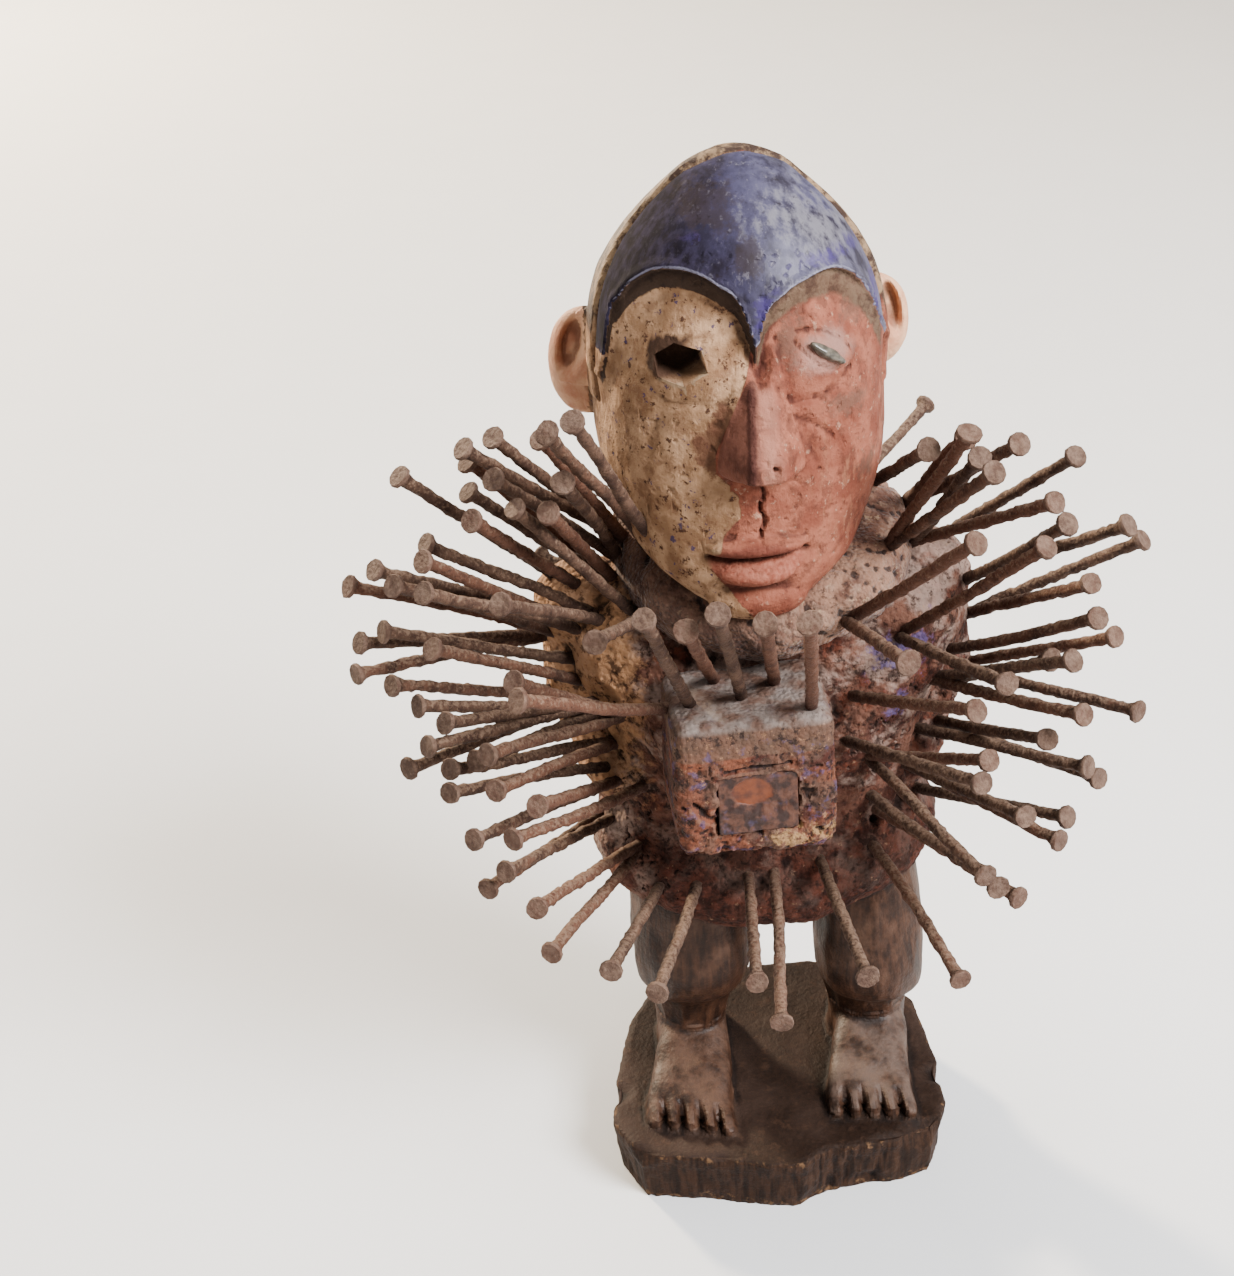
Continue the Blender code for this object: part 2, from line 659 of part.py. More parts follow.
def settle_nails(wood):
    """Turn each nail in small steps until it clears its neighbours, and group crossing ones."""
    dice = random.Random(6)
    wanted = wanted_nails(wood)
    partner = crossing_pairs(wanted)
    placed = {}
    for i, (name, _, nail) in enumerate(wanted):
        for attempt in range(500):
            reach = 0.1 + attempt * 0.025
            shake = Vector((dice.gauss(0, reach), dice.gauss(0, reach), dice.gauss(0, reach)))
            mate = placed.get(partner.get(i))
            root = mate.root - mate.heading * 3.0 if mate else nail.root + shake * 0.7
            aim = (nail.head + shake * 1.4 - root).normalized()
            hit = wood.entry(root + aim * 115, -aim)
            if hit is None or (hit - root).length > 14:
                continue
            trial = Nail(hit, aim, NAIL_OUT + dice.uniform(-3, 2))
            if mate and (trial.head - mate.head).length < NAIL_HEAD + 1.0:
                continue
            others = [other for k, other in placed.items() if k != partner.get(i)]
            gap = min((closest(trial, other) for other in others), default=9)
            if gap > 2.2 * TOUCH_GAP and wood.clear(trial):
                placed[i] = trial
                break
        else:
            print("no room for a nail of", name)
    groups = []
    counts = {}
    for i, nail in placed.items():
        name = wanted[i][0]
        if partner.get(i, i) < i and partner[i] in placed:
            continue
        counts[name] = counts.get(name, 0) + 1
        nails = [nail] + [placed[k] for k in (partner.get(i),) if k in placed]
        groups.append((f"nail_{name}_{counts[name]}", nails))
    return groups


def nail_piece(name, nails, grow=0.0, surface=None):
    bm = bmesh.new()
    nail_mesh(bm, nails[0], grow)
    made = place(name, bm, surface)
    for other in nails[1:]:
        bm = bmesh.new()
        nail_mesh(bm, other, grow)
        boolean(made, "UNION", place("other", bm))
    return made


def volume(thing):
    bm = bmesh.new()
    bm.from_mesh(thing.data)
    cubic = bm.calc_volume(signed=True) / MM**3
    bm.free()
    return cubic


def drill(target, nails):
    """Cut the hole for a nail piece, turning its square shanks until the cut comes out whole."""
    whole = target.data.copy()
    before = volume(target)
    for attempt in range(4):
        for solver in ("EXACT", "MANIFOLD"):
            hole = nail_piece("hole", nails, TOUCH_GAP)
            most = volume(hole) + 1.0
            boolean(target, "DIFFERENCE", hole, solver)
            if -10 < before - volume(target) < most:
                return
            target.data = whole.copy()
        for nail in nails:
            nail.roll += 17.0
    print("no clean hole in", target.name)


def keep_largest(thing):
    """Remove slivers that a cut has parted from the main body."""
    bm = bmesh.new()
    bm.from_mesh(thing.data)
    left = set(bm.verts)
    islands = []
    while left:
        island = {left.pop()}
        edge = list(island)
        while edge:
            vert = edge.pop()
            for link in vert.link_edges:
                other = link.other_vert(vert)
                if other in left:
                    left.remove(other)
                    island.add(other)
                    edge.append(other)
        islands.append(island)
    islands.sort(key=len)
    bmesh.ops.delete(bm, geom=[v for island in islands[:-1] for v in island], context="VERTS")
    bm.to_mesh(thing.data)
    bm.free()


def near(thing, nail):
    """Whether the driven end of a nail reaches into an object."""
    bm = bmesh.new()
    bm.from_mesh(thing.data)
    tree = BVHTree.FromBMesh(bm)
    bm.free()
    for s in np.arange(-NAIL_IN, 14.0, 1.0):
        spot = (nail.root + nail.heading * s) * MM
        hit, normal, _, distance = tree.find_nearest(spot)
        if distance < 4.5 * MM or (hit - spot).dot(normal) > 0:
            return True
    return False


def main():
    clear_scene()
    wood_dark = material("carved wood", (0.085, 0.055, 0.042), 0.62)
    clay = material("crusted block", (0.23, 0.12, 0.085), 0.85)
    amber = material("amber resin", (0.62, 0.22, 0.05), 0.3)
    cloth = material("stiffened cloth", (0.2, 0.14, 0.13), 0.95)
    glass = material("eye glass", (0.32, 0.34, 0.28), 0.2)
    iron = material("rusty iron", (0.17, 0.11, 0.09), 0.75, 0.35)

    figure = carved_body()
    figure.data.materials.clear()
    figure.data.materials.append(wood_dark)
    boolean(figure, "UNION", base_slab())
    boolean(figure, "DIFFERENCE", eye_hollow())
    boolean(figure, "DIFFERENCE", eye_sliver(TOUCH_GAP, "sliver_cut"))
    eye_sliver(0.0, "eye_glass", glass)
    seat = tuple(side + 2 * TOUCH_GAP for side in BOX_SIZE)
    box = belly_box(clay)
    boolean(figure, "DIFFERENCE", block("box_seat", seat, (0, 0, 0), 3.0))
    belly_window(amber)
    roll = neck_roll(cloth)
    boolean(figure, "DIFFERENCE", swollen(roll, TOUCH_GAP))

    wood = Wood([figure, roll, box])
    groups = settle_nails(wood)
    for name, nails in groups:
        for target in (figure, roll, box):
            if any(near(target, nail) for nail in nails):
                drill(target, nails)
        nail_piece(name, nails, 0.0, iron)
    for thing in (figure, roll, box):
        keep_largest(thing)
    print(len(groups), "nail pieces,", sum(len(nails) for _, nails in groups), "nails")


main()
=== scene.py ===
# %% [markdown]
# # A standing power figure, dressed over its solids
#
# The object is a wooden figure 30 cm tall. Nails were driven into its trunk, a block on its
# belly holds the charge, and a roll of cloth stiffened with paste lies round its neck.
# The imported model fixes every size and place. Each step below makes one finished piece over
# its plain solid, with the carving, crust, paint and rust that the solid leaves out.
# Sizes are in millimetres and become metres through MM.

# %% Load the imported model
import math
import random

import bmesh
import bpy
import numpy as np
from mathutils import Matrix, Vector, noise
from mathutils.bvhtree import BVHTree


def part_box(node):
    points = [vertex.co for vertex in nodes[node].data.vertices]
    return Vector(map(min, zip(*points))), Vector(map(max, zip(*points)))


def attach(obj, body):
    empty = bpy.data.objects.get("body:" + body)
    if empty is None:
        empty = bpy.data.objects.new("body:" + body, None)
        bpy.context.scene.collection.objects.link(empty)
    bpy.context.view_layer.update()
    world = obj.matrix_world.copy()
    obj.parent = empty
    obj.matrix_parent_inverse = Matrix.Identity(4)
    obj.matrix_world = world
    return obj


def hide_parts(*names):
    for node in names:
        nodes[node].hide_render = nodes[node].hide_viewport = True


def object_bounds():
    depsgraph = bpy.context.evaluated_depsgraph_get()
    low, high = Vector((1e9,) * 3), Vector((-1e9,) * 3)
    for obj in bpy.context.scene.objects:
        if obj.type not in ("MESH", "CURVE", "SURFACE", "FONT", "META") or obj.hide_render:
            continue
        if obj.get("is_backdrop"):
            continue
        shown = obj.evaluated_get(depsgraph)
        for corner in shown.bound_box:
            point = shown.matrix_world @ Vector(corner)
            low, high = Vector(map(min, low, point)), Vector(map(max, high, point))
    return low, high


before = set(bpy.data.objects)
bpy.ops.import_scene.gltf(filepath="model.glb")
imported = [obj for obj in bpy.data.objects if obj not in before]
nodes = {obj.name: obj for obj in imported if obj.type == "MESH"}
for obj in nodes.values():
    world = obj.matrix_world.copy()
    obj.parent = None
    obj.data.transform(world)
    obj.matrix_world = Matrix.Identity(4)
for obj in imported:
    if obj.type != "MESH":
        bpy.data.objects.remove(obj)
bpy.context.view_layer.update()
MM = 0.001

# %% [markdown]
# ## Camera, floor and light
#
# The camera looks down on the figure from a little left of its front, from about half a metre.
# A near camera is what makes the head look large over the feet, so its distance matters as
# much as its angle. The light is soft: a warm lamp behind on the left, a cooler and wider one
# in front on the right, a weak one overhead and a pale surround.

# %% Camera
CAMERA_AIM, ORBIT_CENTRE, CAMERA_DISTANCE = Vector((-38.7, 0, 166)), Vector((0, 0, 150)), 520
AZIMUTH, ELEVATION, ROLL = -6, 30.5, 3.9
FOCAL_PIXELS, IMAGE_HEIGHT, SENSOR = 1850, 1276, 36
azimuth, elevation, roll = (math.radians(v) for v in (AZIMUTH, ELEVATION, ROLL))
back = Vector((math.sin(azimuth) * math.cos(elevation), -math.cos(azimuth) * math.cos(elevation),
               math.sin(elevation)))
eye = ORBIT_CENTRE + back * CAMERA_DISTANCE
ahead = (CAMERA_AIM - eye).normalized()
level = ahead.cross(Vector((0, 0, 1))).normalized()
upright = level.cross(ahead)
right = level * math.cos(roll) - upright * math.sin(roll)
up = upright * math.cos(roll) + level * math.sin(roll)
lens = bpy.data.cameras.new("camera")
lens.sensor_width = SENSOR
lens.lens = FOCAL_PIXELS / IMAGE_HEIGHT * SENSOR
lens.clip_start = 0.01
camera = bpy.data.objects.new("camera", lens)
facing = Matrix((right, up, -ahead)).transposed().to_4x4()
camera.matrix_world = Matrix.Translation(eye * MM) @ facing
bpy.context.scene.collection.objects.link(camera)
bpy.context.scene.camera = camera
print("camera at", [round(v) for v in eye], "mm, lens", round(lens.lens, 1), "mm")


# %% Lights and world
def soft_light(name, spot, aim, size, power, colour):
    lamp = bpy.data.lights.new(name, "AREA")
    lamp.shape = "DISK"
    lamp.size, lamp.energy, lamp.color = size, power, colour
    made = bpy.data.objects.new(name, lamp)
    made.location = spot
    made.rotation_euler = (Vector(aim) - Vector(spot)).to_track_quat("-Z", "Y").to_euler()
    bpy.context.scene.collection.objects.link(made)


soft_light("warm_back_left", (-1.7, 2.3, 1.3), (0, 0, 0.15), 0.35, 360, (1.0, 0.82, 0.6))
soft_light("upper_right", (0.95, -0.85, 1.2), (0, 0, 0.15), 0.8, 120, (0.98, 0.98, 1.0))
soft_light("overhead", (-0.2, 0.3, 1.7), (0, 0, 0.1), 1.3, 26, (1.0, 0.99, 0.97))
world = bpy.data.worlds.new("studio")
world.use_nodes = True
world.node_tree.nodes["Background"].inputs["Color"].default_value = (1.0, 1.0, 1.0, 1.0)
world.node_tree.nodes["Background"].inputs["Strength"].default_value = 0.5
bpy.context.scene.world = world
print("three soft lamps and a white surround")


# %% [markdown]
# ## Materials: a small vocabulary
#
# Worn paint, crust and rust are layers with ragged edges. A layer's mask is a soft zone plus
# noise, cut by a narrow threshold, so that it breaks up where the zone fades. To write such
# masks as plain arithmetic, one class wraps a node's output and overloads the operators. A
# material is then a list of coats, each with its share and its paint.

# %% Number and Surface
LIGHTNESS = 0.38


class Number:
    """A node's output socket that takes + - * with numbers and with others of its kind."""

    def __init__(self, tree, socket):
        self.tree, self.socket = tree, socket

    def math(self, operation, *others, flip=False):
        made = self.tree.nodes.new("ShaderNodeMath")
        made.operation = operation
        values = (self, *others)
        for slot, value in zip(made.inputs, values[::-1] if flip else values):
            connect(self.tree, value, slot)
        return Number(self.tree, made.outputs[0])

    def __add__(self, other):
        return self.math("ADD", other)

    def __sub__(self, other):
        return self.math("SUBTRACT", other)

    def __mul__(self, other):
        return self.math("MULTIPLY", other)

    def __rsub__(self, other):
        return self.math("SUBTRACT", other, flip=True)

    __radd__ = __add__
    __rmul__ = __mul__

    def step(self, low, high):
        """0 below low, 1 above high, and a smooth rise between."""
        made = self.tree.nodes.new("ShaderNodeMapRange")
        made.interpolation_type = "SMOOTHSTEP"
        connect(self.tree, self, made.inputs["Value"])
        made.inputs["From Min"].default_value = low
        made.inputs["From Max"].default_value = high
        return Number(self.tree, made.outputs["Result"])


def connect(tree, value, slot):
    if isinstance(value, Number):
        tree.links.new(value.socket, slot)
    elif isinstance(value, tuple) and len(value) == 3 and len(slot.default_value) == 4:
        slot.default_value = (*value, 1.0)
    else:
        slot.default_value = value


class Surface:
    """A material in the making. Sizes given to its textures are in millimetres."""

    def __init__(self, name, constants=None):
        self.made = bpy.data.materials.new(name)
        self.made.use_nodes = True
        self.tree = self.made.node_tree
        self.shader = self.tree.nodes["Principled BSDF"]
        for socket, value in {"Specular IOR Level": 0.2, **(constants or {})}.items():
            self.shader.inputs[socket].default_value = value
        self.place = self.node("ShaderNodeTexCoord", output="Object")

    def node(self, kind, settings=None, inputs=None, output=0):
        made = self.tree.nodes.new(kind)
        for setting, value in (settings or {}).items():
            setattr(made, setting, value)
        for slot, value in (inputs or {}).items():
            connect(self.tree, value, made.inputs[slot])
        return Number(self.tree, made.outputs[output])

    def stretched(self, scale):
        return self.node("ShaderNodeVectorMath", {"operation": "MULTIPLY"},
                         {0: self.place, 1: scale})

    def noise(self, size, detail=4.0, roughness=0.55, place=None, shift=0.0):
        return self.node("ShaderNodeTexNoise", {"noise_dimensions": "4D"},
                         {"Vector": place or self.place, "W": shift, "Scale": 1000 / size,
                          "Detail": detail, "Roughness": roughness})

    def cells(self, size):
        return self.node("ShaderNodeTexVoronoi", {"feature": "F1"},
                         {"Vector": self.place, "Scale": 1000 / size})

    def mask(self, name):
        return self.node("ShaderNodeAttribute", {"attribute_name": name}, output="Fac")

    def upward(self):
        """How far the surface faces up, from -1 to 1."""
        normal = self.node("ShaderNodeNewGeometry", output="Normal")
        return self.node("ShaderNodeSeparateXYZ", None, {0: normal}, 2)

    def ragged(self, name, grain, amount, low, high):
        """A mask broken up by a noise and then cut between two values."""
        return (self.mask(name) + (grain - 0.5) * amount).step(low, high)

    def blend(self, share, first, second):
        """One colour over another, by a share from 0 to 1; a tuple is a colour from 0 to 255."""
        first, second = (rgb(*c) if isinstance(c, tuple) else c for c in (first, second))
        return self.node("ShaderNodeMix", {"data_type": "RGBA"}, {0: share, 6: first, 7: second}, 2)

    def coats(self, colour, *layers):
        """Lay coats over a colour, each given as its share and its paint."""
        for share, over in layers:
            colour = self.blend(share, colour, over)
        return colour

    def finish(self, colour, roughness, height, depth):
        """Join the layers to the shader; depth is the relief's depth in millimetres."""
        connect(self.tree, colour, self.shader.inputs["Base Color"])
        connect(self.tree, roughness, self.shader.inputs["Roughness"])
        bump = self.node("ShaderNodeBump", None, {"Height": height, "Distance": depth * MM})
        connect(self.tree, bump, self.shader.inputs["Normal"])
        return self.made


def rgb(red, green, blue):
    """A colour seen in the picture, 0 to 255, as a paint's linear values under a bright light."""
    def linear(value):
        value /= 255
        return LIGHTNESS * (value / 12.92 if value <= 0.04045 else ((value + 0.055) / 1.055) ** 2.4)
    return linear(red), linear(green), linear(blue)


print("materials are built from", [n for n in dir(Surface) if not n.startswith("_")])

# %% [markdown]
# ## Floor
#
# A plain pale floor, large enough to fill the picture. It has a faint unevenness, as paper has.

# %% Floor
FLOOR_DARKEST, FLOOR_LIGHTEST = (0.54, 0.54, 0.54), (0.57, 0.57, 0.57)
bm = bmesh.new()
bmesh.ops.create_grid(bm, x_segments=2, y_segments=2, size=6.0)
mesh = bpy.data.meshes.new("floor")
bm.to_mesh(mesh)
bm.free()
floor = bpy.data.objects.new("floor", mesh)
bpy.context.scene.collection.objects.link(floor)
paper = Surface("pale floor")
faint = paper.noise(60, 3)
pale = paper.node("ShaderNodeMix", {"data_type": "RGBA"},
                  {0: faint, 6: FLOOR_DARKEST, 7: FLOOR_LIGHTEST}, 2)
mesh.materials.append(paper.finish(pale, 0.8, faint, 0.05))
floor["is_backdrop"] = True
print("floor", floor.dimensions[:2])


# %% [markdown]
# ## Helpers for the pieces
#
# A carved form is a stack of rounded sections, bridged one to the next. Forms that overlap are
# merged by a voxel remesh, as a carver's block is one piece of wood, and then cut by moving
# vertices: that is the sculpting, done with functions of the place instead of a brush.

# %% Lofts, balls and bars
def rise(value, low, high):
    """0 below low, 1 above high, and a smooth rise between."""
    t = np.clip((value - low) / (high - low), 0, 1)
    return t * t * (3 - 2 * t)


def ring(bm, count, place):
    """A closed loop of edges, each corner put where place says for its angle."""
    verts = bmesh.ops.create_circle(bm, segments=count, radius=1.0)["verts"]
    for i, vert in enumerate(verts):
        vert.co = place(2 * math.pi * i / count)
    return list({edge for vert in verts for edge in vert.link_edges})


def loft(bm, count, places, closed=False):
    """Bridge one ring to the next; the ends are filled unless the loft closes on itself."""
    rings = [ring(bm, count, place) for place in places]
    for low, high in zip(rings, rings[1:] + (rings[:1] if closed else [])):
        bmesh.ops.bridge_loops(bm, edges=low + high)
    if not closed:
        for end in (rings[0], rings[-1]):
            bmesh.ops.edgeloop_fill(bm, edges=end)


def rounded(value, square):
    return math.copysign(abs(value) ** (2 / square), value)


def section(height, centre, half, front, rear, square):
    """A rounded ring at a height, with its own depth in front and behind."""
    middle, depth = (front + rear) / 2, max((rear - front) / 2, 0.5)

    def place(angle):
        x = centre + rounded(math.cos(angle), square) * max(half, 0.5)
        y = middle + rounded(math.sin(angle), square) * depth
        return Vector((x, y, height)) * MM
    return place


def through(stations, step=2.0):
    """Sections at an even spacing, on a smooth curve through the given ones."""
    rows = np.array(stations, float)
    heights, values = rows[:, 0], rows[:, 1:]
    slopes = np.gradient(values, heights, axis=0)
    count = round((heights[-1] - heights[0]) / step) + 1
    made = []
    for height in np.linspace(heights[0], heights[-1], count):
        i = min(np.searchsorted(heights, height, side="right") - 1, len(rows) - 2)
        span = heights[i + 1] - heights[i]
        t = (height - heights[i]) / span
        value = (2 * t**3 - 3 * t**2 + 1) * values[i] + (3 * t**2 - 2 * t**3) * values[i + 1]
        value = value + (t**3 - 2 * t**2 + t) * slopes[i] * span
        value = value + (t**3 - t**2) * slopes[i + 1] * span
        made.append((height, *value))
    return made


def form(bm, stations, count=48):
    loft(bm, count, [section(*s) for s in through(stations)])


def ball(bm, centre, radii, turn=(0, 0, 0), fineness=4):
    """An ellipsoid, turned about X, then Y, then Z, in degrees."""
    verts = bmesh.ops.create_icosphere(bm, subdivisions=fineness, radius=MM)["verts"]
    spin = Matrix.Identity(4)
    for angle, axis in zip(turn, "XYZ"):
        spin = Matrix.Rotation(math.radians(angle), 4, axis) @ spin
    move = Matrix.Translation(Vector(centre) * MM) @ spin @ Matrix.Diagonal((*radii, 1))
    bmesh.ops.transform(bm, matrix=move, verts=verts)


def bar(bm, start, end, start_radius, end_radius):
    """A tapering round bar with rounded ends."""
    a, b = Vector(start), Vector(end)
    turn = (b - a).to_track_quat("Z", "X").to_matrix()
    places = []
    for i in range(17):
        t = i / 16
        taper = start_radius + (end_radius - start_radius) * t
        radius = taper * max(1 - (2 * t - 1) ** 6, 0.02) ** 0.5

        def place(angle, t=t, radius=radius):
            side = Vector((math.cos(angle) * radius, math.sin(angle) * radius, (b - a).length * t))
            return (a + turn @ side) * MM
        places.append(place)
    loft(bm, 24, places)


# %% Objects, modifiers and vertices as arrays
def show(name, bm, surface=None, crisp=0):
    """One new object at the origin from a bmesh; edges sharper than crisp degrees stay sharp."""
    bmesh.ops.recalc_face_normals(bm, faces=bm.faces)
    mesh = bpy.data.meshes.new(name)
    bm.to_mesh(mesh)
    bm.free()
    mesh.shade_smooth()
    if crisp:
        mesh.set_sharp_from_angle(angle=math.radians(crisp))
    made = bpy.data.objects.new(name, mesh)
    bpy.context.scene.collection.objects.link(made)
    if surface:
        mesh.materials.append(surface)
    return made


def apply(thing, kind, **settings):
    """Run one modifier on an object and keep its result."""
    step = thing.modifiers.new(kind.lower(), kind)
    for setting, value in settings.items():
        setattr(step, setting, value)
    bpy.context.view_layer.update()
    result = thing.evaluated_get(bpy.context.evaluated_depsgraph_get())
    mesh = bpy.data.meshes.new_from_object(result)
    thing.modifiers.clear()
    thing.data = mesh


def decimate(thing, triangles):
    now = sum(len(p.vertices) - 2 for p in thing.data.polygons)
    if now > triangles:
        apply(thing, "DECIMATE", ratio=triangles / now)


def read(mesh):
    """Places in millimetres and unit normals of a mesh's vertices."""
    places = np.empty(len(mesh.vertices) * 3)
    normals = np.empty(len(mesh.vertices) * 3)
    mesh.vertices.foreach_get("co", places)
    mesh.vertices.foreach_get("normal", normals)
    return places.reshape(-1, 3) / MM, normals.reshape(-1, 3)


def write(mesh, places):
    mesh.vertices.foreach_set("co", (places * MM).ravel())
    mesh.update()


def paint(mesh, name, values):
    """Keep one number for each vertex, for the material to read."""
    layer = mesh.attributes.new(name, "FLOAT", "POINT")
    layer.data.foreach_set("value", np.clip(values, -1, 2).astype(np.float32))


def bell(value, width):
    return np.exp(-(value / width) ** 2)


def lumps(places, size, seed=0.0, octaves=3, where=None):
    """Fractal noise, about -1 to 1, at each place or only where a mask is above nothing."""
    made = np.zeros(len(places))
    chosen = np.arange(len(places)) if where is None else np.nonzero(where > 0.01)[0]
    spots = places[chosen] / size + seed * 7.3
    made[chosen] = [noise.fractal(p, 1.0, 2.0, octaves) for p in spots.tolist()]
    return made


def scallops(places, size, where):
    """Distance to the middle of the nearest tool mark, 0 in the middle and about 1 at its rim."""
    made = np.zeros(len(places))
    chosen = np.nonzero(where > 0.01)[0]
    spots = places[chosen] / size
    made[chosen] = [noise.voronoi(p)[0][0] for p in spots.tolist()]
    return made


def relief(mesh):
    """How far each vertex stands out of its neighbours' mean: edges above 0, hollows below."""
    places, normals = read(mesh)
    ends = np.empty(len(mesh.edges) * 2, int)
    mesh.edges.foreach_get("vertices", ends)
    a, b = ends.reshape(-1, 2).T
    links = np.bincount(a, minlength=len(places)) + np.bincount(b, minlength=len(places))

    def mean(values):
        total = np.bincount(a, values[b], len(places)) + np.bincount(b, values[a], len(places))
        return total / np.maximum(links, 1)
    wide = places
    for _ in range(3):
        wide = np.stack([mean(wide[:, k]) for k in range(3)], axis=1)
    out = ((places - wide) * normals).sum(axis=1)
    return (out + mean(out)) / 2


print("helpers ready")

# %% [markdown]
# ## Where the nails are
#
# Every nail node of the frame is one nail, or two that cross in the wood. Its round heads are
# the only flat six-sided faces of about 24 square millimetres, so each head gives a nail's
# axis, and the farthest corner along that axis is its point. The nails come first because
# the crust is heaped and stained around each of them.

# %% Read the nails' axes
HEAD_AREA, AREA_SLACK = 24.5, 2.5
NEAR_AXIS = 2.6


def nail_axes(node):
    """Head centre, direction towards the point and length of each nail in a node, in mm."""
    bm = bmesh.new()
    bm.from_mesh(node.data)
    bmesh.ops.remove_doubles(bm, verts=bm.verts, dist=1e-5)
    bmesh.ops.dissolve_limit(bm, angle_limit=math.radians(2), verts=bm.verts, edges=bm.edges)
    found = []
    for face in bm.faces:
        area = face.calc_area() / MM**2
        if len(face.verts) >= 6 and abs(area - HEAD_AREA) < AREA_SLACK:
            centre, axis = face.calc_center_median() / MM, -face.normal
            reach = 0.0
            for vert in bm.verts:
                away = vert.co / MM - centre
                along = away.dot(axis)
                if (away - axis * along).length < NEAR_AXIS:
                    reach = max(reach, along)
            found.append((centre, axis.copy(), reach))
    bm.free()
    return found


nail_nodes = {name: nail_axes(nodes[name]) for name in sorted(nodes) if name.startswith("nail_")}
lengths = [length for found in nail_nodes.values() for _, _, length in found]
print(len(lengths), "nails in", len(nail_nodes), "nodes, lengths",
      round(min(lengths), 1), "to", round(max(lengths), 1), "mm")
print("without a head:", [name for name, found in nail_nodes.items() if not found])


# %% Roots of the nails in the wood
def tree_of(*names):
    bm = bmesh.new()
    for name in names:
        bm.from_mesh(nodes[name].data)
    made = BVHTree.FromBMesh(bm)
    bm.free()
    return made


solids = tree_of("figure", "neck_wrap", "belly_box")
roots = []
for found in nail_nodes.values():
    for centre, axis, length in found:
        hit = solids.ray_cast(centre * MM, axis)[0]
        if hit:
            roots.append(hit / MM)
roots = np.array(roots)
print(len(roots), "roots")

# %% [markdown]
# ## The wooden figure
#
# The figure is carved from one block, feet and base included. Its forms are the same named
# sections as the solid's. A voxel remesh of 0.8 mm merges them, and cuts follow: the ledge
# under the brows, the sockets, ears, lips, toes, tool marks, chips and the crust.

# %% Sections of the carving
HEAD_X = -3.5
HEAD = [(z, HEAD_X, half, front, rear, square) for z, half, front, rear, square in (
    (190, 9, -36, -14, 2.0), (194, 17, -42, 4, 2.0), (200, 26, -43, 18, 2.1),
    (210, 32, -42, 26, 2.1), (225, 36.5, -41, 34, 2.1), (240, 37.5, -41, 39, 2.1),
    (256, 37.0, -41, 40, 2.1), (270, 33.8, -39, 36, 2.1), (282, 26.5, -33, 23, 2.0),
    (291, 18, -24, 11, 2.0), (297, 10.5, -15, 3, 2.0), (300, 3, -8, -2, 2.0),
)]
TRUNK = [
    (84, 1, 43, -27, 28, 2.3), (88, 1, 48, -31, 32, 2.3), (98, 1, 50, -32, 35, 2.3),
    (112, 1, 46.5, -29, 34, 2.3), (128, 1, 43.5, -28, 32, 2.3), (145, 2, 47, -28, 32, 2.3),
    (162, 2, 54, -27, 33, 2.4), (175, 2, 55, -25, 32, 2.4), (184, 2, 47, -22, 29, 2.2),
    (191, 0, 31, -20, 25, 2.0), (200, -2, 25, -18, 24, 2.0), (216, -3, 24, -18, 24, 2.0),
]
LEFT_LEG = [
    (16, -23, 11, -12, 16, 2.0), (26, -23.5, 10.5, -11, 15, 2.0), (36, -23, 12, -11, 17, 2.0),
    (46, -22.5, 14.5, -14, 19, 2.1), (53, -22.5, 17, -22, 19, 2.2), (60, -22.5, 18, -25, 18, 2.2),
    (76, -22.5, 18, -23, 20, 2.2), (92, -22, 17, -21, 22, 2.0), (106, -22, 17, -20, 20, 2.0),
]
RIGHT_LEG = [
    (16, 31, 12, -12, 16, 2.0), (26, 31.3, 12, -11, 15, 2.0), (36, 31, 13, -12, 17, 2.0),
    (43, 31, 14.5, -15, 19, 2.1), (49, 31, 16, -24, 19, 2.2), (58, 30.5, 16.5, -28, 18, 2.2),
    (74, 30.5, 16.5, -26, 20, 2.2), (92, 29, 16, -22, 22, 2.0), (106, 29, 15, -20, 20, 2.0),
]
FEET = [(-23.5, -27, 26, -43, -36), (31.3, 27, 26, -38, -41)]
TOES = 5
BASE_THICKNESS = 19.0
BASE_TAPER = (0.97, 0.965)
BASE_OUTLINE = [
    (-43, -46), (-25, -49), (-6, -54), (3, -55), (12, -50), (33, -48), (44, -45), (49, -34),
    (50, -15), (48, 12), (38, 27), (18, 36), (-14, 35), (-34, 28), (-42, 14), (-48, -12),
    (-50, -32),
]
LEFT_BROW = [(-39, 248), (-37, 257), (-35.7, 265), (-33, 270.5), (-27, 276.8), (-19, 279),
             (-11, 276.3), (-5.5, 271), (-2.5, 261.5)]
RIGHT_BROW = [(-2.5, 261.5), (-0.5, 268), (4.5, 273.3), (11, 275.7), (17.5, 276), (23, 272.6),
              (27.4, 266.2), (30.5, 258), (34, 249)]
EYE_HEIGHT, EYE_SPREAD, MOUTH_HEIGHT = 258.0, 17.0, 208.6
HEM_RISE = 10.0
VOXEL = 0.8
WOOD_TRIANGLES = 192000


